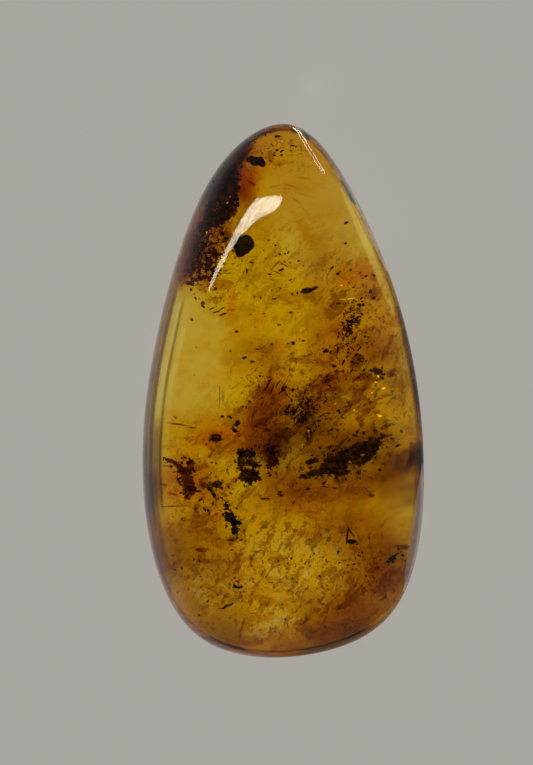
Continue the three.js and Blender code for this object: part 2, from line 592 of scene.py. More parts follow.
def noise_share(
    tree: bpy.types.NodeTree,
    place: bpy.types.NodeSocket,
    grain_mm: float,
    low: float,
    high: float,
    stretch: tuple[float, float] = (1.0, 1.0),
    turn: float = 0.0,
    shift: float = 0.0,
    detail: float = 4.0,
) -> bpy.types.NodeSocket:
    """Adds patches of noise.

    Args:
        tree: The material's node tree.
        place: The place of each point.
        grain_mm: The size of the patches.
        low: The noise at which patches begin.
        high: The noise at which they are full.
        stretch: How much longer the patches are, along and across their turn.
        turn: How far their length is turned from +X, in degrees.
        shift: How far the noise is moved, in millimetres, for another set of patches.
        detail: How many finer sizes run through the patches.

    Returns:
        The socket with how strong the patches are at each point, from 0 to 1.
    """
    own = add_node(
        tree,
        "ShaderNodeMapping",
        {"vector_type": "TEXTURE"},
        {
            "Vector": place,
            "Location": Vector((shift, shift, shift)) * METRES_PER_MM,
            "Rotation": (0, 0, math.radians(turn)),
            "Scale": (*stretch, 1.0),
        },
    ).outputs[0]
    patches = add_node(
        tree,
        "ShaderNodeTexNoise",
        inputs={
            "Vector": own,
            "Scale": 1 / (grain_mm * METRES_PER_MM),
            "Detail": detail,
            "Roughness": 0.65,
            "Distortion": 0.6,
        },
    ).outputs["Fac"]
    return smooth_share(tree, patches, low, high)


@dataclass(frozen=True)
class Mottle:
    """Fine patches of one tint.

    grain_mm: their size. low and high: the noise at which they begin and are full. colour: their
    tint. stretch: how much longer they are, along and across their turn, in degrees. shift: how far
    their noise is moved, in millimetres.
    """

    grain_mm: float
    low: float
    high: float
    colour: str
    stretch: tuple[float, float] = (1.0, 1.0)
    turn: float = 0.0
    shift: float = 0.0


@dataclass(frozen=True)
class MottledZones:
    """Ovals of resin with fine patches in them; the depth of an oval says how strongly they show."""

    zones: tuple[CloudZone, ...]
    mottles: tuple[Mottle, ...]

    def over(
        self,
        tree: bpy.types.NodeTree,
        place: bpy.types.NodeSocket,
        tint: bpy.types.NodeSocket | tuple[float, ...],
    ) -> bpy.types.NodeSocket | tuple[float, ...]:
        """Adds the patches over a tint.

        Args:
            tree: The material's node tree.
            place: The place of each point.
            tint: The tint below.

        Returns:
            The socket with the new tint.
        """
        within: bpy.types.NodeSocket | float = 0.0
        for zone in self.zones:
            within = add_node(
                tree,
                "ShaderNodeMath",
                {"operation": "MAXIMUM"},
                {0: within, 1: zone_share(tree, zone, place)},
            ).outputs[0]
        for mottle in self.mottles:
            patches = noise_share(
                tree,
                place,
                mottle.grain_mm,
                mottle.low,
                mottle.high,
                mottle.stretch,
                mottle.turn,
                mottle.shift,
            )
            shown = add_node(tree, "ShaderNodeMath", {"operation": "MULTIPLY"}, {0: patches, 1: within})
            tint = mixed(tree, Blend.STAIN, shown.outputs[0], tint, mottle.colour)
        return tint


HONEY_RESIN = "#ffcf0e"
WINDOW_RESIN = "#ffdd66"
GRANULAR_RESIN = "#ffe2a0"
AMBER_CLOUDS = (
    CloudZone((-4.3, 1.8), (2.1, 3.2), WINDOW_RESIN, 8, 1.0, 0.25, Blend.CLEAR),
    CloudZone((1.7, 7.6), (2.0, 2.9), WINDOW_RESIN, 15, 1.0, 0.4, Blend.CLEAR),
    CloudZone((5.4, -5.8), (0.9, 1.2), WINDOW_RESIN, 0, 1.0, 0.25, Blend.CLEAR),
    CloudZone((0.6, -9.2), (4.4, 2.4), GRANULAR_RESIN, 8, 0.9, 0.4, Blend.CLEAR),
    CloudZone((-3.2, -9.4), (2.2, 1.8), GRANULAR_RESIN, 0, 0.8, 0.5, Blend.CLEAR),
    CloudZone((3.4, 0.2), (1.5, 1.1), "#fff060", 20, 1.0, 0.4, Blend.CLEAR),
    CloudZone((-0.4, -2.7), (1.2, 0.9), "#fce850", 80, 0.8, 0.4, Blend.CLEAR),
    CloudZone((-4.9, -7.2), (1.1, 1.5), "#fcdc40", 0, 0.9, 0.4, Blend.CLEAR),
    CloudZone((0.1, 11.4), (2.8, 1.5), "#fce48c", 0, 0.9, 0.6),
    CloudZone((3.5, 5.2), (1.2, 0.9), "#ecd090", 0, 0.8, 0.5),
    CloudZone((3.7, 2.3), (2.5, 3.2), "#eecf80", 10, 0.8, 0.5),
    CloudZone((3.7, 0.3), (2.7, 1.8), "#f4e8c0", 0, 0.8, 0.45),
    CloudZone((1.1, -1.0), (1.5, 1.3), "#ccb890", -15, 0.9, 0.5),
    CloudZone((-0.7, -1.4), (2.8, 0.8), "#dcb074", 82, 0.8, 0.5),
    CloudZone((-2.2, -1.9), (1.6, 1.0), "#f2cc80", 0, 0.8, 0.6),
    CloudZone((3.2, -3.2), (2.6, 0.9), "#ccb484", 27, 0.8, 0.5),
    CloudZone((1.4, -4.7), (3.0, 0.8), "#dcb064", 8, 0.9, 0.5),
    CloudZone((4.7, -3.8), (2.0, 0.7), "#c8a474", 22, 0.9, 0.5),
    CloudZone((-3.2, -6.4), (1.5, 1.6), "#ecd488", 0, 0.7, 0.6),
    CloudZone((-4.7, -4.1), (1.0, 1.0), "#fcdc98", 0, 0.7, 0.6),
    CloudZone((3.4, -6.4), (1.4, 1.2), "#e8d080", 0, 0.8, 0.6),
    CloudZone((4.2, -9.0), (1.9, 2.2), "#c09460", 0, 1.0, 0.45),
    CloudZone((0.6, -12.0), (4.6, 1.1), "#bc8c48", 0, 1.0, 0.6),
    CloudZone((-3.7, -10.4), (1.8, 1.8), "#d0bc80", 0, 0.8, 0.6),
    CloudZone((2.7, -10.9), (2.0, 1.1), "#d0a878", 10, 1.0, 0.6),
    CloudZone((-3.5, 8.1), (3.6, 1.0), "#b07848", 70, 0.9, 0.35),
    CloudZone((-1.5, 10.0), (1.4, 0.9), "#e6b468", 60, 0.9, 0.5),
    CloudZone((1.0, -2.3), (2.6, 0.9), "#bca07c", 4, 1.0, 0.5),
    CloudZone((0.1, -3.9), (1.3, 0.7), "#c8a070", 0, 1.0, 0.5),
    CloudZone((-1.0, -1.6), (1.0, 1.1), "#ccac80", 0, 0.9, 0.5),
    CloudZone((5.85, -3.3), (0.65, 0.8), "#94808c", 0, 1.0, 0.35),
    CloudZone((3.0, -6.2), (2.0, 1.0), "#d8c494", 0, 0.9, 0.5),
    CloudZone((-3.9, -7.2), (1.1, 1.4), "#dcc898", 0, 0.9, 0.5),
    CloudZone((-1.7, -10.8), (1.5, 0.8), "#ccb078", 0, 0.9, 0.5),
    CloudZone((-4.35, 6.1), (1.3, 0.6), "#98643c", 76, 1.0, 0.3),
    CloudZone((-1.75, 9.5), (0.9, 0.55), "#cc9450", 68, 0.9, 0.5),
    CloudZone((-2.1, 11.0), (0.9, 0.45), "#a46c48", 52, 0.9, 0.5),
    CloudZone((1.6, -3.2), (0.8, 0.5), "#c8a878", 0, 0.9, 0.5),
    CloudZone((1.8, -9.9), (1.5, 1.1), "#d0ac7c", 0, 0.9, 0.5),
    CloudZone((-2.6, -7.9), (0.7, 0.6), "#dcc494", 0, 0.9, 0.5),
    CloudZone((-3.4, -4.4), (1.0, 0.9), "#e8b070", 0, 0.9, 0.5),
    CloudZone((-5.3, -7.9), (0.9, 1.3), "#bca470", -20, 0.9, 0.4),
    CloudZone((-1.1, 1.6), (0.9, 0.8), "#e4d0a8", 0, 0.9, 0.5),
    CloudZone((4.3, 1.7), (0.8, 0.9), "#e0cca4", 0, 0.9, 0.5),
    CloudZone((1.2, 8.9), (1.5, 1.4), "#f4e4c0", 0, 0.9, 0.5),
    CloudZone((-0.6, 8.0), (1.2, 1.4), "#f8ecd0", 60, 0.9, 0.5),
    CloudZone((1.3, 6.6), (0.8, 1.6), "#ecdcb0", 0, 0.9, 0.5),
    CloudZone((0.1, -7.1), (0.8, 0.3), "#ffecc8", -15, 0.85, 0.4, Blend.CLEAR),
    CloudZone((-0.7, -9.8), (0.8, 0.3), "#ffecd0", 25, 0.85, 0.4, Blend.CLEAR),
    CloudZone((-1.0, -11.1), (0.8, 0.28), "#ffe8c4", 20, 0.85, 0.4, Blend.CLEAR),
    CloudZone((5.2, -4.6), (0.9, 0.9), "#b49878", 0, 0.9, 0.4),
    CloudZone((5.3, -0.2), (0.5, 0.9), "#d8ccb0", 0, 0.9, 0.4),
    CloudZone((1.6, 2.5), (0.5, 2.0), "#e0c898", -8, 0.9, 0.5),
    CloudZone((-0.4, -7.5), (0.9, 1.3), "#ffe898", 0, 0.55, 0.5, Blend.CLEAR),
    CloudZone((-0.4, -0.3), (1.0, 0.6), "#e8c088", 40, 0.9, 0.5),
    CloudZone((5.0, -2.6), (0.7, 0.6), "#f0d0a8", 0, 0.9, 0.5),
    CloudZone((1.5, 5.6), (0.5, 1.6), "#e4d4b0", -20, 0.9, 0.5),
    CloudZone((-1.6, 8.4), (0.6, 1.1), "#d0bc98", 30, 0.9, 0.5),
    CloudZone((3.0, -2.2), (0.8, 0.6), "#c8a080", 20, 0.9, 0.4),
    CloudZone((1.5, 0.5), (0.7, 0.35), "#ccb07c", 40, 0.9, 0.5),
    CloudZone((3.6, 1.5), (1.3, 0.7), "#dccc9c", 30, 0.9, 0.5),
)


@dataclass(frozen=True)
class PaintedRimBand:
    """A band of painted reflection and painted shade along the outline of the upper skin, darker or
    clearer than the resin's tint where the rim mirrors and bends its surroundings.

    zone: the stretch of the outline that it follows, and its tint. near and far: between which
    distances in from the outline it lies, in millimetres. soft: how far its two edges fade.
    """

    zone: CloudZone
    near: float
    far: float
    soft: float = 0.06

    def over(
        self,
        tree: bpy.types.NodeTree,
        depth: bpy.types.NodeSocket,
        place: bpy.types.NodeSocket,
        tint: bpy.types.NodeSocket,
    ) -> bpy.types.NodeSocket:
        """Adds the band over a tint.

        Args:
            tree: The material's node tree.
            depth: How far in from the outline each point lies.
            place: The place of each point.
            tint: The tint below.

        Returns:
            The socket with the new tint.
        """
        shown = zone_share(tree, self.zone, place)
        for edge, way in ((self.near, 1), (self.far, -1)):
            fade = way * self.soft
            beyond = smooth_share(tree, depth, edge - fade, edge + fade)
            shown = add_node(
                tree, "ShaderNodeMath", {"operation": "MULTIPLY"}, {0: shown, 1: beyond}
            ).outputs[0]
        return mixed(tree, self.zone.blend, shown, tint, self.zone.colour)


DEPTH_IN = "depth_in"
# Painted reflection and shade at the rim: each band darkens or clears the tint along the outline, in place
# of the surroundings that the rim mirrors and bends.
PAINTED_RIM_BANDS = (
    PaintedRimBand(CloudZone((-6.4, 0.4), (2.2, 6.6), "#786e60", 0, 1.0, 0.15), -1.0, 0.5),
    PaintedRimBand(CloudZone((-6.4, 0.0), (2.2, 6.4), "#988468", 0, 1.0, 0.15), 0.33, 0.53, 0.05),
    PaintedRimBand(CloudZone((-6.2, 0.6), (2.4, 4.2), "#e4e8a4", 0, 0.6, 0.2, Blend.CLEAR), 0.56, 0.86, 0.05),
    PaintedRimBand(CloudZone((-6.2, -0.4), (2.4, 5.2), "#889060", 0, 1.0, 0.15), 0.84, 0.97, 0.03),
    PaintedRimBand(CloudZone((-6.2, 0.6), (2.6, 4.2), "#fff0b0", 0, 0.8, 0.2, Blend.CLEAR), 1.04, 1.3, 0.08),
    PaintedRimBand(CloudZone((-6.2, -3.4), (1.4, 2.2), "#848050", 0, 1.0, 0.3), 0.36, 0.95, 0.08),
    PaintedRimBand(CloudZone((-6.2, -6.2), (1.6, 2.4), "#94784c", 0, 1.0, 0.3), -1.0, 0.74, 0.1),
    PaintedRimBand(CloudZone((-5.4, -8.8), (2.4, 3.4), "#e4c894", 25, 1.0, 0.3), -1.0, 1.3, 0.2),
    PaintedRimBand(CloudZone((-3.9, 8.6), (2.0, 3.9), "#a07464", -25, 1.0, 0.25), 0.08, 0.75, 0.12),
    PaintedRimBand(CloudZone((4.6, 5.4), (2.2, 4.8), "#fff0a8", 0, 1.0, 0.2, Blend.CLEAR), 0.3, 0.66, 0.06),
    PaintedRimBand(CloudZone((5.2, 4.4), (2.2, 5.6), "#a4907c", 0, 1.0, 0.2), -1.0, 0.27, 0.05),
    PaintedRimBand(CloudZone((6.3, -1.4), (1.9, 5.8), "#8c8068", 0, 1.0, 0.15), -1.0, 0.36),
    PaintedRimBand(CloudZone((6.2, -6.6), (1.4, 2.9), "#988c78", 0, 1.0, 0.25), -1.0, 0.52, 0.08),
)


@dataclass(frozen=True)
class PolishedAmber:
    """Polished amber, a fossil resin: clear, warm yellow, with stained clouds and a buffed skin.

    Its index is that of amber, and the absorption takes blue first, so that thick parts go to honey.
    The clouds drift by noise of wander_mm across. Buffing leaves hairlines a few microns wide,
    drawn hairline_mm wide here, so that they break up the edges of reflections.
    """

    refractive_index: float = AMBER_INDEX
    roughness: float = 0.02
    absorbed: str = "#fffc00"
    density: float = 150.0
    wander_mm: float = 2.0
    wander_reach_mm: float = 1.1
    hairline_mm: float = 0.09
    hairline_depth_mm: float = 0.00022
    zones: tuple[CloudZone, ...] = AMBER_CLOUDS
    rim: tuple[PaintedRimBand, ...] = PAINTED_RIM_BANDS
    mottled: tuple[MottledZones, ...] = (
        MottledZones(
            (CloudZone((0.5, -0.5), (8, 13), "#ffffff"),),
            (Mottle(1.1, 0.46, 0.7, "#fce4ac"), Mottle(0.9, 0.56, 0.72, "#f0c88c", (2.5, 1), 40, 5)),
        ),
    )

    def hairlines(self, tree: bpy.types.NodeTree) -> bpy.types.NodeSocket:
        """Adds the hairlines that buffing leaves, crossing at two slants."""
        here = add_node(tree, "ShaderNodeTexCoord").outputs["Object"]
        normal: bpy.types.NodeSocket | None = None
        for turn, shift in ((35, 0.0), (-62, 3.0)):
            lines = noise_share(tree, here, self.hairline_mm, 0.3, 0.7, (14, 1), turn, shift, 1.0)
            inputs = {"Distance": self.hairline_depth_mm * METRES_PER_MM, "Height": lines}
            if normal is not None:
                inputs["Normal"] = normal
            normal = add_node(tree, "ShaderNodeBump", inputs=inputs).outputs[0]
        return normal

    def material(self) -> bpy.types.Material:
        """Makes the finish of the clear amber."""
        made = new_material("polished_amber")
        tree = made.node_tree
        place = drifting(tree, self.wander_mm, self.wander_reach_mm)
        tint = clouded(tree, self.zones, place, HONEY_RESIN)
        for mottled in self.mottled:
            tint = mottled.over(tree, place, tint)
        depth = add_node(tree, "ShaderNodeAttribute", {"attribute_name": DEPTH_IN}).outputs["Fac"]
        # Painted reflection and shade along the rim, put into the tint.
        for shade in self.rim:
            tint = shade.over(tree, depth, place, tint)
        shader = add_node(
            tree,
            "ShaderNodeBsdfPrincipled",
            inputs={
                "Base Color": tint,
                "Roughness": self.roughness,
                "IOR": self.refractive_index,
                "Transmission Weight": 1.0,
                "Normal": self.hairlines(tree),
            },
        )
        inside = add_node(
            tree,
            "ShaderNodeVolumeAbsorption",
            inputs={"Color": linear(self.absorbed), "Density": self.density},
        )
        add_output(tree, shader.outputs[0], inside.outputs[0])
        return made


@dataclass
class AmberBody:
    """The whole pebble of amber, in one clear piece in place of its two parted halves."""

    form: DropForm
    finish: PolishedAmber = PolishedAmber()
    segments_around: int = 256
    rows_over: int = 144
    polish_wave: float = 3.2
    polish_rise: float = 0.004

    def build(self) -> bpy.types.Object:
        """Builds the pebble.

        Returns:
            The finished piece.
        """
        mesh = bmesh.new()
        bmesh.ops.create_uvsphere(
            mesh, u_segments=self.segments_around, v_segments=self.rows_over, radius=1
        )
        depth_in = mesh.verts.layers.float.new(DEPTH_IN)
        for vertex in mesh.verts:
            direction = vertex.co.normalized()
            point = self.form.on_skin(direction)
            upper = point.z >= self.form.girdle_height
            vertex[depth_in] = self.form.depth_in(point) if upper else self.form.width
            rise = noise.noise(point / self.polish_wave) * self.polish_rise
            lifted = point + direction * rise
            vertex.co = Vector((lifted.x, lifted.y, max(lifted.z, 0.0)))
        bmesh.ops.recalc_face_normals(mesh, faces=mesh.faces)
        piece = finished_piece("amber_body", mesh, self.finish.material())
        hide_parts(*AMBER_HALVES)
        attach(piece, BODY)
        return piece


@dataclass(frozen=True)
class Lump:
    """One ragged lump of a piece of debris.

    at: its middle, from the middle of the piece, as it shows through the skin. half: its half
    length and half width. turn: how far its length is turned from +X, in degrees. thick: its half
    thickness, as a share of its half width. ragged: how far its surface wanders, as a share.
    """

    at: tuple[float, float]
    half: tuple[float, float]
    turn: float = 0.0
    thick: float = 0.9
    ragged: float = 0.55


class Grain(Enum):
    """How coarse a lump's mesh is, by the times that its first faces are divided."""

    FINE = 4
    MEDIUM = 3
    COARSE = 2
    TINY = 1


FINE_FROM_MM = 0.3
MEDIUM_FROM_MM = 0.12
COARSE_FROM_MM = 0.06


def grain_for(size: float) -> Grain:
    """Chooses how fine the mesh of a lump is, from its half length."""
    if size >= FINE_FROM_MM:
        return Grain.FINE
    if size >= MEDIUM_FROM_MM:
        return Grain.MEDIUM
    return Grain.COARSE if size >= COARSE_FROM_MM else Grain.TINY


def add_lump(mesh: bmesh.types.BMesh, lump: Lump, middle: Vector, seed: float) -> None:
    """Adds a ragged lump to a mesh.

    Args:
        mesh: The mesh in millimetres.
        lump: The lump.
        middle: Where its middle lies.
        seed: What its surface wanders by.
    """
    length, width = lump.half
    half = Vector((length, width, width * lump.thick))
    turn = Matrix.Rotation(math.radians(lump.turn), 3, "Z")
    shift = Vector((seed * 3.7, -seed * 1.9, seed * 5.3))
    coarse_pitch, fine_pitch = 2.6, 9.0
    made = bmesh.ops.create_icosphere(mesh, subdivisions=grain_for(length).value, radius=1)
    for vertex in made["verts"]:
        direction = vertex.co.normalized()
        point = Vector((direction.x * half.x, direction.y * half.y, direction.z * half.z))
        slow = noise.fractal(point * coarse_pitch + shift, 0.8, 2.2, 3)
        quick = noise.noise(point * fine_pitch + shift)
        vertex.co = middle + turn @ (point * (1 + lump.ragged * (0.8 * slow + 0.45 * quick)))


@dataclass(frozen=True)
class PlantMatter:
    """Bark or wood, sealed in resin: matt, charred to brown, in fibres and crumbs of a few microns.

    crumb_mm is the size of the colour's patches. lets_through is how much of the light behind it
    passes thin bark, so that it glows rusty where it is thinnest.
    """

    name: str
    dark: str
    light: str
    crumb_mm: float
    lets_through: float = 0.0
    roughness: float = 0.85

    def material(self) -> bpy.types.Material:
        """Makes the finish."""
        made = new_material(self.name)
        tree = made.node_tree
        here = add_node(tree, "ShaderNodeTexCoord").outputs["Object"]
        crumbs = add_node(
            tree,
            "ShaderNodeTexNoise",
            inputs={
                "Vector": here,
                "Scale": 1 / (self.crumb_mm * METRES_PER_MM),
                "Detail": 6.0,
                "Roughness": 0.65,
            },
        ).outputs["Fac"]
        share = smooth_share(tree, crumbs, 0.42, 0.64)
        colour = mixed(tree, Blend.CLEAR, share, linear(self.dark), self.light)
        bump = add_node(
            tree,
            "ShaderNodeBump",
            inputs={"Strength": 0.6, "Distance": 0.05 * METRES_PER_MM, "Height": crumbs},
        ).outputs[0]
        shader = add_node(
            tree,
            "ShaderNodeBsdfPrincipled",
            inputs={
                "Base Color": colour,
                "Roughness": self.roughness,
                "IOR": SEALED_BARK_INDEX,
                "Transmission Weight": self.lets_through,
                "Normal": bump,
            },
        )
        add_output(tree, shader.outputs[0])
        return made


RUSTY_BARK = PlantMatter("rusty_bark", "#784626", "#cc8844", 0.22, 0.45)
BURNT_CRUST = PlantMatter("burnt_crust", "#32180c", "#c07434", 0.3, 0.45)
CHARRED_WOOD = PlantMatter("charred_wood", "#443c2c", "#ac9064", 0.22, 0.45)
BLACK_CRUMB = PlantMatter("black_crumb", "#221e1a", "#5c4c3a", 0.2, 0.4)
BROWN_FELT = PlantMatter("brown_felt", "#8c6040", "#d8a470", 0.12, 0.48)
GREY_PELLET = PlantMatter("grey_pellet", "#2c3036", "#464a50", 0.15)
DARK_GRAIN = PlantMatter("dark_grain", "#4a3018", "#94682c", 0.1, 0.45)


@dataclass(frozen=True)
class DebrisPiece:
    """One piece of debris: the solid that it stands for, its finish, its lumps and its crumbs.

    crumbs: how many crumbs lie round it. spread: how far they reach, as half sizes. turn: how far
    that oval is turned from +X, in degrees. crumb_size: the largest crumb, halved.
    """

    node: str
    slot: str
    finish: PlantMatter
    lumps: tuple[Lump, ...]
    crumbs: int = 0
    spread: tuple[float, float] = (0.5, 0.5)
    turn: float = 0.0
    crumb_size: float = 0.06


DEBRIS = (
    DebrisPiece(
        "bark_crust_at_shoulder",
        "bark",
        BURNT_CRUST,
        (
            Lump((0.4, 0.25), (0.85, 0.42), 78),
            Lump((0.45, -0.5), (0.5, 0.3), 70),
            Lump((-0.2, 0.25), (0.7, 0.3), 66),
            Lump((0.0, -0.95), (0.5, 0.34), 40),
            Lump((-0.7, -1.35), (0.3, 0.24), 60),
            Lump((0.42, 1.2), (0.45, 0.22), 50),
            Lump((-0.45, -0.6), (0.45, 0.18), 62),
        ),
        120, (1.9, 0.55), 66, 0.08,
    ),
    DebrisPiece(
        "crumbled_bark_left",
        "bark",
        RUSTY_BARK,
        (
            Lump((0.35, 0.15), (0.2, 0.1), 75),
            Lump((-0.1, 0.5), (0.16, 0.08), 20),
            Lump((0.1, -0.35), (0.36, 0.14), 80),
            Lump((-0.3, -0.5), (0.34, 0.12), 80),
            Lump((0.36, -0.6), (0.34, 0.12), 70),
            Lump((-0.05, -0.95), (0.42, 0.12), 5),
            Lump((-0.62, -1.05), (0.2, 0.09), -30),
            Lump((-0.36, 0.1), (0.14, 0.07), 70),
            Lump((0.0, -0.05), (0.14, 0.08), 10),
            Lump((-0.72, -1.22), (0.3, 0.1), -8),
            Lump((-0.7, -0.75), (0.22, 0.08), 76),
            Lump((-0.62, -0.3), (0.2, 0.07), 70),
            Lump((-0.55, 0.35), (0.16, 0.06), 60),
        ),
        260, (1.5, 0.7), 74, 0.06,
    ),
    DebrisPiece(
        "wood_chip_near_tip",
        "black_pellet",
        BLACK_CRUMB,
        (
            Lump((-0.22, 0.08), (0.24, 0.2), 30, 0.9, 0.3),
            Lump((0.02, -0.02), (0.3, 0.25), -10, 0.9, 0.3),
            Lump((0.28, -0.08), (0.26, 0.18), -80, 0.9, 0.3),
            Lump((0.2, 0.08), (0.2, 0.14), 10, 0.9, 0.3),
        ),
        8, (0.6, 0.4), -10, 0.04,
    ),
    DebrisPiece(
        "round_pellet",
        "black_pellet",
        GREY_PELLET,
        (
            Lump((0.0, 0.04), (0.53, 0.47), 60, 0.9, 0.14),
            Lump((-0.16, -0.3), (0.3, 0.26), 60, 0.9, 0.2),
        ),
        10, (0.6, 0.5), 0, 0.03,
    ),
    DebrisPiece(
        "speckled_clump_upper_right",
        "bark",
        CHARRED_WOOD,
        (
            Lump((-0.2, -0.3), (0.24, 0.13), -30, 0.5, 0.7),
            Lump((-0.05, -0.5), (0.14, 0.08), 30, 0.5, 0.7),
            Lump((0.02, 0.02), (0.13, 0.05), 70, 0.5, 0.7),
            Lump((0.2, 0.2), (0.12, 0.05), 50, 0.5, 0.7),
        ),
        210, (1.15, 0.4), 62, 0.05,
    ),
    DebrisPiece(
        "crumb_right",
        "bark",
        CHARRED_WOOD,
        (
            Lump((-0.09, 0.05), (0.24, 0.14), -20),
            Lump((0.2, -0.09), (0.14, 0.08), 0),
        ),
        24, (0.6, 0.35), 10, 0.05,
    ),
    DebrisPiece(
        "hollow_chip_centre",
        "dark_wood",
        BLACK_CRUMB,
        (
            Lump((0.09, 0.14), (0.16, 0.11), 60),
            Lump((-0.03, -0.19), (0.17, 0.09), -20),
            Lump((-0.13, 0.0), (0.11, 0.045), 90),
        ),
        16, (0.55, 0.4), 80, 0.04,
    ),
    DebrisPiece(
        "spore_ball_left",
        "bark",
        BROWN_FELT,
        (Lump((0.02, 0.0), (0.27, 0.23), 0, 0.5, 0.34),),
        30, (0.42, 0.36), 0, 0.04,
    ),
    DebrisPiece(
        "bark_fragment_right",
        "dark_wood",
        CHARRED_WOOD,
        (
            Lump((0.5, 0.22), (0.6, 0.42), 25, 0.6, 0.65),
            Lump((-0.15, 0.0), (0.62, 0.38), 28, 0.6, 0.65),
            Lump((-0.85, -0.35), (0.55, 0.36), 22, 0.6, 0.65),
            Lump((-1.6, -0.7), (0.5, 0.15), 12, 0.6, 0.7),
            Lump((1.05, 0.62), (0.34, 0.26), 40, 0.5, 0.8),
            Lump((1.5, 1.0), (0.2, 0.07), 60),
            Lump((-1.65, -0.15), (0.2, 0.12), 40),
            Lump((-0.3, -0.72), (0.34, 0.12), 15),
            Lump((0.35, -0.25), (0.2, 0.09), -60),
            Lump((-2.1, -0.86), (0.32, 0.12), 8, 0.6, 0.7),
        ),
        150, (2.0, 0.7), 27, 0.07,
    ),
    DebrisPiece(
        "square_wood_chip",
        "dark_wood",
        CHARRED_WOOD,
        (
            Lump((-0.36, 0.3), (0.54, 0.14), 90),
            Lump((-0.08, 0.68), (0.44, 0.17), -6),
            Lump((0.04, -0.38), (0.42, 0.28), 14, 0.6, 0.65),
            Lump((0.06, 0.26), (0.22, 0.17), 60),
            Lump((0.42, 0.1), (0.13, 0.1), -20),
            Lump((-0.24, -0.2), (0.24, 0.14), 70),
        ),
        80, (0.9, 0.55), 95, 0.05,
    ),
    DebrisPiece(
        "rusty_fragment_left",
        "bark",
        RUSTY_BARK,
        (
            Lump((-0.66, 0.78), (0.4, 0.1), -24, 0.5, 0.8),
            Lump((-0.2, 0.5), (0.34, 0.12), -44, 0.5, 0.8),
            Lump((0.24, 0.5), (0.3, 0.18), 70, 0.5, 0.8),
            Lump((0.06, 0.05), (0.42, 0.22), -62, 0.5, 0.8),
            Lump((0.16, -0.55), (0.36, 0.24), 84, 0.5, 0.8),
            Lump((-0.3, -0.1), (0.22, 0.07), -70, 0.5, 0.8),
            Lump((0.5, -0.6), (0.22, 0.06), 0, 0.5, 0.8),
        ),
        110, (1.0, 0.5), -60, 0.05,
    ),
    DebrisPiece(
        "forked_chip_left",
        "bark",
        CHARRED_WOOD,
        (
            Lump((-0.3, 0.1), (0.22, 0.13), -30),
            Lump((0.18, 0.2), (0.3, 0.14), 12),
            Lump((0.02, -0.18), (0.32, 0.08), -64),
            Lump((0.4, 0.05), (0.12, 0.08), -40),
        ),
        34, (0.6, 0.4), 0, 0.04,
    ),
    DebrisPiece(
        "winged_chip_left",
        "dark_wood",
        BLACK_CRUMB,
        (
            Lump((-0.26, 0.78), (0.13, 0.16), 0),
            Lump((-0.08, 0.2), (0.32, 0.2), -35),
            Lump((0.22, 0.0), (0.26, 0.12), -10),
            Lump((0.1, -0.28), (0.26, 0.13), -76),
        ),
        60, (0.9, 0.4), -75, 0.05,
    ),
    DebrisPiece(
        "looped_sliver_lower_right",
        "dark_wood",
        BLACK_CRUMB,
        (
            Lump((-0.16, 0.12), (0.44, 0.045), 86, 1.4, 0.3),
            Lump((0.03, 0.22), (0.27, 0.028), -58, 1.4, 0.3),
            Lump((0.05, -0.19), (0.2, 0.1), 0),
        ),
        8, (0.5, 0.4), 0, 0.03,
    ),
    DebrisPiece(
        "leaf_flake_near_base",
        "dark_wood",
        BLACK_CRUMB,
        (
            Lump((-0.14, 0.02), (0.13, 0.07), -40),
            Lump((0.05, -0.05), (0.17, 0.065), 12),
            Lump((0.16, 0.04), (0.06, 0.035), 80),
        ),
        14, (0.4, 0.4), 0, 0.035,
    ),
    DebrisPiece(
        "dark_sliver_near_base",
        "black_pellet",
        CHARRED_WOOD,
        (
            Lump((0.06, 0.04), (0.3, 0.085), 28, 0.9, 0.35),
            Lump((-0.2, -0.1), (0.14, 0.05), 24),
        ),
        8, (0.5, 0.3), 26, 0.03,
    ),
    DebrisPiece(
        "speck_near_lower_rim",
        "dark_wood",
        BLACK_CRUMB,
        (
            Lump((0.03, -0.02), (0.18, 0.13), 60),
            Lump((0.2, 0.14), (0.12, 0.05), 25),
        ),
        30, (0.6, 0.35), 25, 0.05,
    ),
    DebrisPiece(
        "crumb_cluster_centre",
        "dark_wood",
        CHARRED_WOOD,
        (
            Lump((0.25, -0.33), (0.2, 0.13), 80, 0.4, 0.8),
            Lump((-0.19, -0.05), (0.17, 0.1), 60, 0.4, 0.8),
            Lump((0.42, 0.3), (0.13, 0.07), -20, 0.4, 0.8),
            Lump((0.05, 0.34), (0.12, 0.06), 20, 0.4, 0.8),
        ),
        150, (0.95, 0.75), 20, 0.05,
    ),
    DebrisPiece(
        "brown_lump_beside_chip",
        "bark",
        RUSTY_BARK,
        (
            Lump((-0.02, 0.15), (0.26, 0.16), 100, 0.5, 0.8),
            Lump((0.08, -0.3), (0.3, 0.2), 40, 0.5, 0.8),
        ),
        110, (0.75, 0.5), 100, 0.05,
    ),
)


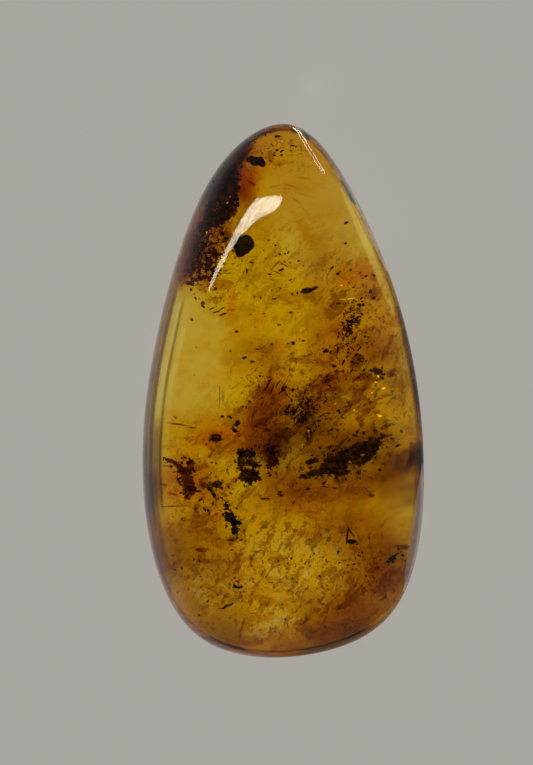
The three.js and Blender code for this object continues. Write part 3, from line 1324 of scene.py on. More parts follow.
@dataclass
class Debris:
    """The bark, wood and crumbs that lie along the old flow, in place of their solids."""

    form: DropForm
    flow: FlowPlane
    pieces: tuple[DebrisPiece, ...] = DEBRIS
    crumb_scatter: float = 0.55
    core_share: float = 0.84
    worn_smooth: float = 0.35
    edge_crumbs_per_mm: float = 70.0
    edge_crumb: tuple[float, float] = (0.025, 0.075)
    skin_margin: float = 0.18
    seed: int = 7

    def shown_middle(self, node: str) -> tuple[Vector, float]:
        """Gives where a solid's middle shows, seen from above, and the height that it lies at."""
        low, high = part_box(node)
        middle = (low + high) / 2 / METRES_PER_MM
        shown = Vector((middle.x, middle.y))
        for _ in range(6):
            back = self.form.seen_at(shown.x, shown.y, middle.z)
            shown += Vector((middle.x - back.x, middle.y - back.y))
        return shown, middle.z

    def shrunk(self, lump: Lump) -> Lump:
        """Makes a lump smaller, to leave room for the crumbs along its edge."""
        length, width = lump.half
        return replace(lump, half=(length * self.core_share, width * self.core_share))

    def crumble_edge(
        self, mesh: bmesh.types.BMesh, lump: Lump, shown: Vector, height: float, draw: random.Random
    ) -> None:
        """Lays crumbs along the edge of a lump.

        Args:
            mesh: The mesh in millimetres.
            lump: The lump.
            shown: Where the middle of its piece shows, seen from above.
            height: The height that it lies at.
            draw: Where its random numbers come from.
        """
        length, width = lump.half
        turn = Matrix.Rotation(math.radians(lump.turn), 2)
        for _ in range(round(self.edge_crumbs_per_mm * (length + width))):
            angle, out = draw.uniform(0, math.tau), draw.triangular(0.5, 1.35, 0.9)
            away = turn @ Vector((math.cos(angle) * length, math.sin(angle) * width)) * out
            size = draw.uniform(*self.edge_crumb) * min(1.0, 4 * width)
            crumb = Lump((0, 0), (size * draw.uniform(1, 1.8), size), draw.uniform(0, 180), 0.9, 0.8)
            spot = shown + Vector(lump.at) + away
            place = self.form.seen_at(spot.x, spot.y, height + draw.gauss(0, 0.5) * width)
            add_lump(mesh, crumb, self.form.kept_inside(place, self.skin_margin), draw.uniform(0, 99))

    def build_piece(
        self, piece: DebrisPiece, materials: dict[str, bpy.types.Material]
    ) -> bpy.types.Object:
        """Builds one piece of debris with its crumbs.

        Args:
            piece: The piece.
            materials: The finishes made so far, by name.

        Returns:
            The finished piece.
        """
        draw = random.Random(f"{piece.node} {self.seed}")
        shown, height = self.shown_middle(piece.node)
        mesh = bmesh.new()
        for lump in piece.lumps:
            rise = draw.uniform(-0.5, 0.5) * min(lump.half)
            place = self.form.seen_at(shown.x + lump.at[0], shown.y + lump.at[1], height + rise)
            place = self.form.kept_inside(place, max(lump.half) * 0.4 + self.skin_margin)
            add_lump(mesh, self.shrunk(lump), place, draw.uniform(0, 99))
            if lump.ragged > self.worn_smooth:
                self.crumble_edge(mesh, lump, shown, height, draw)
        turn = Matrix.Rotation(math.radians(piece.turn), 2)
        for _ in range(piece.crumbs):
            out = Vector((draw.gauss(0, self.crumb_scatter), draw.gauss(0, self.crumb_scatter)))
            away = turn @ Vector((out.x * piece.spread[0], out.y * piece.spread[1]))
            size = piece.crumb_size * draw.uniform(0.3, 1.0) ** 1.6
            crumb = Lump((0, 0), (size * draw.uniform(1, 2), size), draw.uniform(0, 180))
            place = self.form.seen_at(shown.x + away.x, shown.y + away.y, height + draw.gauss(0, 0.2))
            add_lump(mesh, crumb, self.form.kept_inside(place, self.skin_margin), draw.uniform(0, 99))
        if piece.finish.name not in materials:
            materials[piece.finish.name] = piece.finish.material()
        made = finished_piece(f"{piece.node}_detail", mesh, materials[piece.finish.name])
        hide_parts(piece.node)
        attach(made, BODY)
        return made

    def build(self) -> list[bpy.types.Object]:
        """Builds all the debris."""
        materials: dict[str, bpy.types.Material] = {}
        return [self.build_piece(piece, materials) for piece in self.pieces]


class Stain(Enum):
    """What colours a smudge of stained resin, with what a millimetre of it lets through."""

    RUST = ("rust_stained_resin", (0.72, 0.42, 0.09))
    ORANGE = ("orange_resin", (0.97, 0.7, 0.1))
    BROWN = ("brown_stained_resin", (0.58, 0.44, 0.2))
    OLIVE = ("olive_resin", (0.66, 0.56, 0.26))
    DARK = ("dark_stained_resin", (0.14, 0.07, 0.05))

    def material(self) -> bpy.types.Material:
        """Makes the finish, of which a millimetre lets the stated share of light through."""
        name, passes = self.value
        per_mm = [-math.log(share) / METRES_PER_MM for share in passes]
        density = max(per_mm)
        made = new_material(name)
        tree = made.node_tree
        surface = sealed_resin(tree, linear("#ffffff"))
        colour = (*(1 - taken / density for taken in per_mm), 1.0)
        inside = add_node(
            tree, "ShaderNodeVolumeAbsorption", inputs={"Color": colour, "Density": density}
        )
        add_output(tree, surface, inside.outputs[0])
        return made


@dataclass(frozen=True)
class Smudge:
    """A smudge of stained resin: a flat, ragged body inside the amber.

    at: its middle, as it shows through the skin. half: its half sizes. turn: how far its length is
    turned from +X, in degrees. thick: its half thickness. lift: how far it lies from the flow.
    """

    stain: Stain
    at: tuple[float, float]
    half: tuple[float, float]
    turn: float = 0.0
    thick: float = 0.4
    lift: float = 0.0
    ragged: float = 0.5


SMUDGES = (
    Smudge(Stain.RUST, (-3.2, 8.3), (2.1, 0.6), 68, 0.45, 0.0),
    Smudge(Stain.RUST, (-3.55, 6.1), (1.25, 0.65), 78, 0.4, 0.2),
    Smudge(Stain.RUST, (-1.1, -0.3), (1.5, 0.36), 62, 0.36, 0.5, 0.8),
    Smudge(Stain.RUST, (-0.3, -2.1), (1.0, 0.7), 100, 0.1, 0.0),
    Smudge(Stain.RUST, (-5.3, -8.2), (0.5, 0.26), 60, 0.3, 0.0),
    Smudge(Stain.RUST, (3.1, -8.4), (0.5, 0.12), 68, 0.3, 0.6),
    Smudge(Stain.RUST, (5.3, 3.4), (0.5, 0.4), 80, 0.3, 0.0),
    Smudge(Stain.RUST, (0.3, 4.3), (0.8, 0.4), -10, 0.2, 0.4),
    Smudge(Stain.ORANGE, (-1.7, 9.6), (0.95, 0.62), 70, 0.5, 0.3),
    Smudge(Stain.ORANGE, (-4.1, -6.1), (1.3, 0.9), 20, 0.15, 0.2),
    Smudge(Stain.ORANGE, (-3.0, -1.9), (1.3, 0.4), 5, 0.4, 0.5),
    Smudge(Stain.ORANGE, (-2.4, 4.0), (0.95, 0.2), 84, 0.4, 0.2),
    Smudge(Stain.ORANGE, (3.2, 5.4), (1.0, 0.6), 25, 0.4, 0.3),
    Smudge(Stain.ORANGE, (1.0, 7.4), (0.9, 0.25), 120, 0.3, -0.5),
    Smudge(Stain.BROWN, (0.9, -1.3), (1.3, 0.7), 10, 0.3, 0.2, 0.8),
    Smudge(Stain.BROWN, (3.1, -3.1), (2.1, 0.6), 27, 0.45, -0.3),
    Smudge(Stain.BROWN, (1.6, -4.8), (2.5, 0.42), 4, 0.35, 0.5),
    Smudge(Stain.BROWN, (5.0, -3.7), (1.4, 0.36), 18, 0.3, 0.0),
    Smudge(Stain.BROWN, (4.8, -8.6), (1.3, 0.9), 70, 0.45, 0.0),
    Smudge(Stain.BROWN, (2.4, -11.1), (1.6, 0.42), 8, 0.3, -0.6),
    Smudge(Stain.BROWN, (3.3, 2.2), (1.3, 0.5), 30, 0.3, 0.6),
    Smudge(Stain.BROWN, (-0.52, -3.0), (0.75, 0.36), 100, 0.2, 0.6),
    Smudge(Stain.DARK, (2.5, -0.15), (0.45, 0.3), -50, 0.14, -0.3, 0.9),
    Smudge(Stain.DARK, (-3.85, -7.38), (0.26, 0.1), -6, 0.25, 0.3, 0.7),
    Smudge(Stain.DARK, (-4.95, -1.55), (0.55, 0.06), -8, 0.3, 0.0),
    Smudge(Stain.DARK, (-4.3, -1.72), (0.24, 0.05), -2, 0.25, 0.0),
    Smudge(Stain.DARK, (-5.3, -3.5), (0.36, 0.055), -2, 0.25, 0.1),
    Smudge(Stain.DARK, (-5.6, -4.36), (0.26, 0.06), -12, 0.25, 0.1),
    Smudge(Stain.DARK, (-5.2, -4.78), (0.24, 0.05), -14, 0.25, 0.1),
    Smudge(Stain.DARK, (-5.1, -5.36), (0.7, 0.06), 2, 0.25, 0.2),
    Smudge(Stain.OLIVE, (0.37, 9.34), (0.85, 0.045), -3, 0.12, 0.5),
    Smudge(Stain.OLIVE, (0.95, 9.1), (0.6, 0.05), -14, 0.12, 0.4),
    Smudge(Stain.OLIVE, (1.07, 9.86), (0.42, 0.06), -8, 0.15, 0.3),
    Smudge(Stain.OLIVE, (0.48, 11.17), (0.3, 0.04), -2, 0.12, 0.2),
    Smudge(Stain.OLIVE, (-0.9, 1.9), (0.35, 0.2), 10, 0.15, 0.8),
    Smudge(Stain.OLIVE, (-6.05, -3.9), (1.6, 0.16), 91, 0.4, 0.0, 0.3),
    Smudge(Stain.OLIVE, (-3.85, -7.35), (0.42, 0.14), -6, 0.4, 0.4, 0.5),
    Smudge(Stain.DARK, (-0.6, -3.0), (0.4, 0.3), 100, 0.22, -0.4, 0.8),
    Smudge(Stain.DARK, (-2.4, -6.95), (0.34, 0.22), 80, 0.2, -0.3, 0.8),
    Smudge(Stain.DARK, (2.7, -3.4), (0.9, 0.4), 24, 0.2, -0.5, 0.8),
    Smudge(Stain.DARK, (-1.6, -3.6), (0.55, 0.4), 80, 0.06, -0.4, 0.8),
    Smudge(Stain.DARK, (-4.55, -4.1), (0.6, 0.3), -60, 0.06, -0.4, 0.9),
    Smudge(Stain.DARK, (6.15, -2.9), (0.62, 0.42), 85, 0.35, 0.0, 0.8),
    Smudge(Stain.BROWN, (5.0, -7.6), (0.9, 0.35), 10, 0.35, 0.3, 0.8),
    Smudge(Stain.DARK, (-3.15, -2.2), (0.32, 0.28), 0, 0.2, 0.0),
    Smudge(Stain.DARK, (3.5, 1.46), (0.26, 0.17), 20, 0.45, 0.3, 0.9),
    Smudge(Stain.DARK, (5.05, 0.78), (0.22, 0.2), -20, 0.32, 0.2, 0.9),
    Smudge(Stain.DARK, (4.77, -1.66), (0.34, 0.1), 25, 0.2, 0.3, 0.9),
    Smudge(Stain.DARK, (2.57, -4.21), (0.26, 0.2), 0, 0.16, 0.3, 0.9),
    Smudge(Stain.DARK, (5.47, -7.25), (0.28, 0.14), -10, 0.2, 0.2, 0.9),
    Smudge(Stain.RUST, (-3.8, 7.6), (1.5, 0.5), 70, 0.4, -0.7, 0.7),
    Smudge(Stain.RUST, (-2.4, 10.4), (1.2, 0.5), 52, 0.6, -0.5, 0.7),
    Smudge(Stain.DARK, (-3.1, 9.0), (0.9, 0.42), 70, 0.2, -0.6, 0.8),
    Smudge(Stain.BROWN, (5.2, -3.3), (0.95, 0.5), 10, 0.4, 0.2, 0.8),
    Smudge(Stain.DARK, (2.0, 0.5), (0.35, 0.2), 40, 0.2, 0.5),
    Smudge(Stain.DARK, (0.15, -0.9), (0.36, 0.26), 20, 0.2, 0.3, 0.9),
    Smudge(Stain.DARK, (-0.5, -0.6), (1.1, 0.3), 58, 0.08, 0.1, 0.9),
    Smudge(Stain.DARK, (-0.2, -2.3), (0.8, 0.5), 100, 0.12, 0.2, 0.9),
    Smudge(Stain.RUST, (-1.45, 8.9), (0.5, 0.3), 60, 0.3, 0.2, 0.8),
    Smudge(Stain.DARK, (-2.25, 10.4), (0.9, 0.36), 58, 0.26, 0.0, 0.8),
    Smudge(Stain.DARK, (-0.3, 9.5), (0.4, 0.035), 14, 0.08, 0.6, 0.8),
    Smudge(Stain.DARK, (0.4, 9.48), (0.4, 0.04), -14, 0.08, 0.6, 0.8),
    Smudge(Stain.DARK, (1.07, 9.84), (0.36, 0.035), -8, 0.08, 0.6, 0.8),
    Smudge(Stain.DARK, (0.6, 8.8), (0.34, 0.04), -38, 0.08, 0.6, 0.8),
    Smudge(Stain.DARK, (1.05, 8.3), (0.3, 0.035), -50, 0.07, 0.6, 0.8),
    Smudge(Stain.DARK, (0.0, 10.5), (0.28, 0.03), 6, 0.06, 0.6, 0.8),
    Smudge(Stain.DARK, (-0.25, 11.85), (0.26, 0.04), -12, 0.08, 0.4, 0.8),
    Smudge(Stain.BROWN, (1.35, 4.3), (0.5, 0.3), -10, 0.3, 0.2, 0.8),
    Smudge(Stain.RUST, (2.6, 2.85), (0.5, 0.3), 50, 0.35, 0.2, 0.8),
    Smudge(Stain.DARK, (-2.1, -0.85), (0.28, 0.12), 5, 0.1, 0.4, 0.6),
    Smudge(Stain.DARK, (-1.05, 1.95), (0.34, 0.05), 30, 0.1, 0.8, 0.8),
    Smudge(Stain.DARK, (-1.0, 1.8), (0.24, 0.04), -12, 0.1, 0.8, 0.8),
    Smudge(Stain.RUST, (-4.2, 6.2), (1.1, 0.4), 74, 0.45, -0.3, 0.7),
    Smudge(Stain.DARK, (-4.15, 6.2), (0.9, 0.3), 74, 0.14, 0.1, 0.9),
    Smudge(Stain.RUST, (-1.75, 9.5), (0.75, 0.42), 70, 0.3, 0.2, 0.8),
    Smudge(Stain.DARK, (-1.5, 9.65), (0.2, 0.05), -32, 0.2, 0.3, 0.8),
    Smudge(Stain.DARK, (-2.0, 11.0), (0.7, 0.34), 40, 0.34, 0.2, 0.8),
)


@dataclass
class StainedResin:
    """The smudges of stained resin along the old flow, one piece for each stain."""

    form: DropForm
    flow: FlowPlane
    smudges: tuple[Smudge, ...] = SMUDGES
    skin_margin: float = 0.12
    edge_pitch: float = 1.5
    face_pitch: float = 3.2

    def add_smudge(self, mesh: bmesh.types.BMesh, smudge: Smudge, seed: float) -> None:
        """Adds a smudge to a mesh.

        Args:
            mesh: The mesh in millimetres.
            smudge: The smudge.
            seed: What its surface wanders by.
        """
        turn = Matrix.Rotation(math.radians(smudge.turn), 2)
        shift = Vector((seed * 4.1, seed * 2.3, -seed * 3.3))
        detail = 5 if smudge.half[0] > 0.8 else 4
        made = bmesh.ops.create_icosphere(mesh, subdivisions=detail, radius=1)
        for vertex in made["verts"]:
            direction = vertex.co.normalized()
            flat = Vector((direction.x * smudge.half[0], direction.y * smudge.half[1]))
            spot = Vector((flat.x, flat.y, direction.z * smudge.thick))
            slow = noise.fractal(spot * self.edge_pitch + shift, 0.7, 2.3, 5)
            quick = noise.fractal(spot * self.face_pitch + shift, 0.6, 2.4, 4)
            out = turn @ (flat * (1 + smudge.ragged * slow))
            rise = direction.z * smudge.thick * max(0.15, 1 + 1.1 * quick)
            shown = Vector(smudge.at) + out
            height = self.flow.at(shown.x, shown.y) + smudge.lift
            place = self.form.seen_at(shown.x, shown.y, height) + Vector((0, 0, rise))
            vertex.co = self.form.kept_inside(place, self.skin_margin)

    def build(self) -> list[bpy.types.Object]:
        """Builds the smudges."""
        made = []
        for stain in Stain:
            mesh = bmesh.new()
            for seed, smudge in enumerate(self.smudges):
                if smudge.stain is stain:
                    self.add_smudge(mesh, smudge, seed)
            material = stain.material()
            piece = finished_piece(material.name, mesh, material)
            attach(piece, BODY)
            made.append(piece)
        return made


DIRTY_ZONES = (
    CloudZone((1.6, -1.0), (4.2, 3.6), "#ffffff", 25, 1.0, 0.5),
    CloudZone((-3.2, -4.6), (2.6, 3.0), "#ffffff", 0, 0.8, 0.5),
    CloudZone((0.2, -8.6), (5.5, 3.4), "#ffffff", 0, 0.8, 0.4),
    CloudZone((3.4, 3.2), (1.8, 3.2), "#ffffff", 20, 0.8, 0.5),
    CloudZone((-3.2, 7.0), (1.3, 3.4), "#ffffff", 12, 1.0, 0.4),
    CloudZone((-0.6, 11.2), (1.9, 1.0), "#ffffff", 0, 0.7, 0.6),
    CloudZone((0.0, 5.2), (2.6, 2.4), "#ffffff", 0, 0.45, 0.6),
)
GRANULAR_ZONES = (
    CloudZone((0.4, -9.0), (4.6, 2.6), "#ffffff", 8, 1.0, 0.5),
    CloudZone((-2.9, -9.6), (2.2, 1.8), "#ffffff", 0, 0.9, 0.5),
    CloudZone((3.0, -6.0), (1.6, 1.2), "#ffffff", 0, 0.8, 0.5),
    CloudZone((2.8, -0.3), (2.4, 1.8), "#ffffff", 20, 0.6, 0.5),
)


@dataclass(frozen=True)
class FlowStain:
    """The dusty surface of an old flow of resin: granules, grime and wisps.

    The grains are tens of microns across and are drawn at their size.
    """

    name: str
    mottled: tuple[MottledZones, ...]
    zoom: tuple[float, float] = (0.88, 0.97)
    wander_mm: float = 0.9
    wander_reach_mm: float = 0.45

    def material(self) -> bpy.types.Material:
        """Makes the finish."""
        made = new_material(self.name)
        tree = made.node_tree
        place = drifting(tree, self.wander_mm, self.wander_reach_mm, self.zoom)
        tint: bpy.types.NodeSocket | tuple[float, ...] = linear("#ffffff")
        for mottled in self.mottled:
            tint = mottled.over(tree, place, tint)
        add_output(tree, sealed_resin(tree, tint))
        return made


MAIN_FLOW_STAIN = FlowStain(
    "grimy_flow_surface",
    (
        MottledZones(
            GRANULAR_ZONES,
            (
                Mottle(0.8, 0.36, 0.52, "#fff27c", (1.6, 1.0), 30, 11.0),
                Mottle(0.34, 0.42, 0.48, "#fff068", (1.4, 1.0), 30, 11.0),
            ),
        ),
        MottledZones(
            DIRTY_ZONES,
            (
                Mottle(1.3, 0.5, 0.62, "#d8b878", (3.4, 1.0), -6, 31.0),
                Mottle(0.6, 0.52, 0.6, "#b89a5c", (2.2, 1.0), 48, 0.0),
                Mottle(0.26, 0.56, 0.64, "#98804c", (1.6, 1.0), 60, 17.0),
                Mottle(0.11, 0.6, 0.68, "#745e38", (1.3, 1.0), 20, 23.0),
            ),
        ),
    ),
)


@dataclass
class FlowSheet:
    """The grimy surface of an old flow, as a thin closed sheet inside the amber."""

    form: DropForm
    flow: FlowPlane
    finish: FlowStain
    reach: float = 0.93
    half_thick: float = 0.012
    wave: float = 0.12
    wave_pitch: float = 0.35
    segments_around: int = 96
    rows_over: int = 48

    def build(self) -> bpy.types.Object:
        """Builds the sheet.

        Returns:
            The finished piece.
        """
        mesh = bmesh.new()
        bmesh.ops.create_uvsphere(
            mesh, u_segments=self.segments_around, v_segments=self.rows_over, radius=1
        )
        core = Vector(self.form.core)
        for vertex in mesh.verts:
            direction = vertex.co.normalized()
            out = math.hypot(direction.x, direction.y) * self.reach
            clockwise = math.atan2(direction.x, direction.y) / math.tau
            flat = core + (self.form.outline(clockwise) - core) * out
            height = self.flow.at(flat.x, flat.y)
            height += self.wave * noise.noise(Vector((flat.x, flat.y, 0)) * self.wave_pitch)
            vertex.co = Vector((flat.x, flat.y, height + direction.z * self.half_thick))
        bmesh.ops.recalc_face_normals(mesh, faces=mesh.faces)
        piece = finished_piece(self.finish.name, mesh, self.finish.material())
        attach(piece, BODY)
        return piece


@dataclass(frozen=True)
class FleckSwarm:
    """A swarm of tiny dark crumbs.

    at: its middle, as it shows through the skin. half: its half sizes. turn: how far it is turned
    from +X, in degrees. count: how many. size: the largest, halved.
    """

    at: tuple[float, float]
    half: tuple[float, float]
    turn: float
    count: int
    size: float


FLECK_SWARMS = (
    FleckSwarm((0.0, -1.0), (4.6, 9.0), 0, 320, 0.035),
    FleckSwarm((1.2, -0.8), (1.6, 1.2), 20, 160, 0.05),
    FleckSwarm((3.0, 1.6), (1.2, 2.0), -25, 170, 0.045),
    FleckSwarm((3.2, 4.6), (1.1, 1.3), 0, 70, 0.045),
    FleckSwarm((-1.2, 0.2), (0.8, 1.6), -20, 80, 0.04),
    FleckSwarm((3.0, -2.8), (2.2, 1.0), 27, 120, 0.05),
    FleckSwarm((-3.2, -4.8), (1.9, 1.7), 0, 150, 0.045),
    FleckSwarm((-1.4, -3.4), (1.2, 1.0), 90, 80, 0.04),
    FleckSwarm((0.6, -8.2), (2.4, 1.6), 10, 170, 0.035),
    FleckSwarm((-3.6, -8.4), (1.6, 1.2), 0, 90, 0.04),
    FleckSwarm((3.6, -8.0), (1.6, 1.6), 0, 90, 0.04),
    FleckSwarm((-0.4, 6.0), (1.6, 1.6), 0, 90, 0.04),
    FleckSwarm((-3.2, 6.4), (0.6, 1.7), -14, 180, 0.05),
    FleckSwarm((-0.4, 11.2), (1.0, 0.7), 0, 45, 0.04),
)


CHIPS = (
    Lump((-0.27, 11.85), (0.13, 0.07), 10),
    Lump((-0.29, 11.17), (0.06, 0.05)),
    Lump((-0.05, 11.17), (0.06, 0.05)),
    Lump((-0.1, 10.94), (0.07, 0.05)),
    Lump((2.9, 7.8), (0.12, 0.05), 30),
    Lump((2.89, 6.86), (0.07, 0.05)),
    Lump((2.52, 5.41), (0.06, 0.05)),
    Lump((3.13, 5.6), (0.07, 0.06)),
    Lump((3.55, 5.46), (0.07, 0.05)),
    Lump((3.83, 5.32), (0.08, 0.06)),
    Lump((4.2, 5.36), (0.09, 0.06)),
    Lump((4.05, 4.6), (0.1, 0.07), 60),
    Lump((4.2, 4.3), (0.09, 0.07)),
    Lump((-0.1, 5.6), (0.12, 0.06), 25),
    Lump((-0.4, 5.8), (0.26, 0.018), 50),
    Lump((0.0, 5.86), (0.24, 0.018), -35),
    Lump((-0.3, 5.5), (0.22, 0.018), -25),
    Lump((-1.69, 5.55), (0.05, 0.12)),
    Lump((1.1, 4.62), (0.26, 0.12), 10),
    Lump((1.45, 4.75), (0.16, 0.07), 30),
    Lump((0.41, 4.48), (0.05, 0.1)),
    Lump((0.65, 4.52), (0.05, 0.09)),
    Lump((0.37, 3.63), (0.06, 0.04)),
    Lump((-0.9, 3.59), (0.06, 0.04)),
    Lump((-3.3, 3.8), (0.16, 0.03), 30),
    Lump((-3.1, 3.66), (0.18, 0.03), 20),
    Lump((-2.85, 3.8), (0.14, 0.03), 35),
    Lump((-2.8, 3.55), (0.14, 0.03), 25),
    Lump((-2.16, 2.74), (0.06, 0.05)),
    Lump((-1.79, 1.53), (0.1, 0.05), 20),
    Lump((-1.46, 1.34), (0.08, 0.05)),
    Lump((1.96, 1.85), (0.14, 0.1), 20),
    Lump((0.93, 2.32), (0.07, 0.05)),
    Lump((0.46, 2.18), (0.07, 0.06)),
    Lump((-0.7, 0.3), (0.32, 0.035), 66),
    Lump((-0.5, 0.1), (0.28, 0.03), 72),
    Lump((-0.3, 0.25), (0.2, 0.03), 60),
    Lump((-2.95, -0.2), (0.46, 0.014), 88),
    Lump((-2.8, -0.3), (0.34, 0.012), 92),
    Lump((-2.82, -1.19), (0.07, 0.05)),
    Lump((-2.49, -1.19), (0.06, 0.05)),
    Lump((0.79, -1.38), (0.12, 0.08)),
    Lump((0.23, -1.0), (0.1, 0.08)),
    Lump((1.19, -3.3), (0.16, 0.12), 40),
    Lump((-2.12, -8.82), (0.07, 0.05)),
    Lump((-3.89, -10.41), (0.07, 0.06)),
    Lump((-1.9, -0.75), (0.07, 0.05)),
    Lump((-5.0, -1.25), (0.12, 0.03), -40),
)


@dataclass
class Flecks:
    """The lone chips and more than a thousand dark flecks in the resin, joined in one mesh."""

    form: DropForm
    flow: FlowPlane
    finish: PlantMatter
    chips: tuple[Lump, ...] = CHIPS
    swarms: tuple[FleckSwarm, ...] = FLECK_SWARMS
    depth_scatter: float = 0.8
    chip_scatter: float = 0.4
    skin_margin: float = 0.15
    farthest_reach: float = 0.96
    lowest: float = 0.6
    highest: float = 4.4
    templates: int = 6
    seed: int = 11

    def template_meshes(self) -> list[bpy.types.Mesh]:
        """Makes a few ragged crumbs a millimetre in radius, to be copied at the size of a fleck."""
        size = COARSE_FROM_MM
        made = []
        for k in range(self.templates):
            crumb = bmesh.new()
            add_lump(crumb, Lump((0, 0), (size, size), 0, 1.0, 0.9), Vector((0, 0, 0)), k * 7.7)
            data = bpy.data.meshes.new(f"crumb_{k}")
            crumb.to_mesh(data)
            crumb.free()
            data.transform(Matrix.Scale(1 / size, 4))
            made.append(data)
        return made

    def build(self) -> bpy.types.Object:
        """Builds the flecks.

        Returns:
            The finished piece.
        """
        draw = random.Random(self.seed)
        shapes = self.template_meshes()
        joined = bmesh.new()
        for chip in self.chips:
            height = self.flow.at(*chip.at) + draw.gauss(0, self.chip_scatter)
            place = self.form.kept_inside(self.form.seen_at(*chip.at, height), self.skin_margin)
            add_lump(joined, chip, place, draw.uniform(0, 99))
        for swarm in self.swarms:
            turn = Matrix.Rotation(math.radians(swarm.turn), 2)
            for _ in range(swarm.count):
                out = Vector((draw.gauss(0, 0.5) * swarm.half[0], draw.gauss(0, 0.5) * swarm.half[1]))
                shown = Vector(swarm.at) + turn @ out
                if self.form.reach(shown.x, shown.y) > self.farthest_reach:
                    continue
                height = self.flow.at(shown.x, shown.y) + draw.gauss(0, self.depth_scatter)
                height = min(max(height, self.lowest), self.highest)
                place = self.form.seen_at(shown.x, shown.y, height)
                place = self.form.kept_inside(place, self.skin_margin)
                size = swarm.size * (0.25 + 0.75 * draw.random() ** 2.5)
                scale = Vector((size * draw.uniform(1, 2.4), size, size))
                spin = Euler([draw.uniform(-0.5, 0.5), draw.uniform(-0.5, 0.5), draw.uniform(0, math.tau)])
                copied = draw.choice(shapes).copy()
                copied.transform(Matrix.LocRotScale(place, spin, scale))
                joined.from_mesh(copied)
                bpy.data.meshes.remove(copied)
        for shape in shapes:
            bpy.data.meshes.remove(shape)
        piece = finished_piece("dark_flecks", joined, self.finish.material())
        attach(piece, BODY)
        return piece


class Glow(Enum):
    """A painted glint of a tiny crack or scratch, which glows though it is no lamp: its piece's name, its
    colour and how bright it glows.
    """

    GOLD = ("golden_cracks_painted_glint", "#ffd03c", 0.9)
    ORANGE = ("orange_crack_painted_glint", "#ff9a20", 0.9)
    PALE = ("pale_scratches_painted_glint", "#fff0c8", 0.55)
    GREY = ("grey_cracks_painted_sheen", "#b8a4b0", 0.3)

    def material(self) -> bpy.types.Material:
        """Makes the finish of a crack full of air, with the light that it would mirror painted on as a
        glow.
        """
        name, colour, strength = self.value
        made = new_material(name)
        # Painted glint: the emission stands in for light mirrored by the crack or scratch.
        shader = add_node(
            made.node_tree,
            "ShaderNodeBsdfPrincipled",
            inputs={
                "Base Color": linear(colour),
                "Roughness": 0.4,
                "Emission Color": linear(colour),
                "Emission Strength": strength,
            },
        )
        add_output(made.node_tree, shader.outputs[0])
        return made


@dataclass(frozen=True)
class Glint:
    """One tiny crack or scratch, whose brightness is a painted glint. lift: how far it lies above the
    flow, or None under the skin.
    """

    glow: Glow
    at: tuple[float, float]
    half: tuple[float, float]
    turn: float = 0.0
    lift: float | None = 0.5


# Painted glints and sheen: tiny pieces that glow by emission in place of light mirrored by cracks and
# scratches.
GLINTS = (
    Glint(Glow.GOLD, (1.16, -1.85), (0.04, 0.035)),
    Glint(Glow.GOLD, (0.88, -2.5), (0.035, 0.03)),
    Glint(Glow.GOLD, (4.49, -1.19), (0.07, 0.06)),
    Glint(Glow.GOLD, (4.4, -1.13), (0.035, 0.03)),
    Glint(Glow.GOLD, (4.67, 0.12), (0.08, 0.045), 20),
    Glint(Glow.GOLD, (4.42, 0.66), (0.07, 0.03), -30),
    Glint(Glow.GOLD, (4.3, 0.4), (0.05, 0.025), 10),
    Glint(Glow.GOLD, (4.1, -0.1), (0.05, 0.03), 40),
    Glint(Glow.GOLD, (3.3, -0.9), (0.04, 0.025), 0),
    Glint(Glow.GOLD, (2.4, -0.6), (0.04, 0.02), 30),
    Glint(Glow.GOLD, (-2.4, -6.3), (0.05, 0.02), 60),
    Glint(Glow.GOLD, (-3.0, -5.6), (0.04, 0.02), 10),
    Glint(Glow.GOLD, (-3.55, 7.35), (0.05, 0.03), 70),
    Glint(Glow.GOLD, (-2.6, 8.7), (0.06, 0.025), 60),
    Glint(Glow.ORANGE, (-5.2, -5.92), (0.05, 0.045)),
    Glint(Glow.ORANGE, (-3.1, 9.3), (0.05, 0.025), 80),
    Glint(Glow.ORANGE, (-2.45, 9.0), (0.05, 0.03), 50),
    Glint(Glow.PALE, (2.66, 4.85), (0.05, 0.03), 0, None),
    Glint(Glow.PALE, (3.12, 4.74), (0.22, 0.012), -45, None),
    Glint(Glow.PALE, (2.85, 4.22), (0.36, 0.012), 5, None),
    Glint(Glow.PALE, (0.88, -2.62), (0.03, 0.03)),
    Glint(Glow.GREY, (3.66, -2.98), (0.06, 0.03), 10),
    Glint(Glow.GREY, (3.1, -3.3), (0.07, 0.04), -20),
    Glint(Glow.GREY, (5.5, -0.45), (0.24, 0.09), -35, 1.2),
    Glint(Glow.GREY, (5.9, -0.85), (0.16, 0.08), -50, 1.0),
    Glint(Glow.GREY, (4.15, 1.35), (0.12, 0.05), 60, 1.4),
)


@dataclass
class Glints:
    """The tiny cracks in the resin and the scratches on its skin, drawn glowing as painted glints."""

    form: DropForm
    flow: FlowPlane
    glints: tuple[Glint, ...] = GLINTS
    thick: float = 0.4
    ragged: float = 0.7
    skin_margin: float = 0.05

    def build(self) -> list[bpy.types.Object]:
        """Builds the glints, one piece for each kind."""
        made = []
        for glow in Glow:
            mesh = bmesh.new()
            for seed, glint in enumerate(self.glints):
                if glint.glow is not glow:
                    continue
                if glint.lift is None:
                    height = self.form.skin(*glint.at)[1] - self.skin_margin
                else:
                    height = self.flow.at(*glint.at) + glint.lift
                place = self.form.kept_inside(self.form.seen_at(*glint.at, height), self.skin_margin)
                lump = Lump((0, 0), glint.half, glint.turn, self.thick, self.ragged)
                add_lump(mesh, lump, place, seed)
            material = glow.material()
            piece = finished_piece(material.name, mesh, material)
            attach(piece, BODY)
            made.append(piece)
        return made


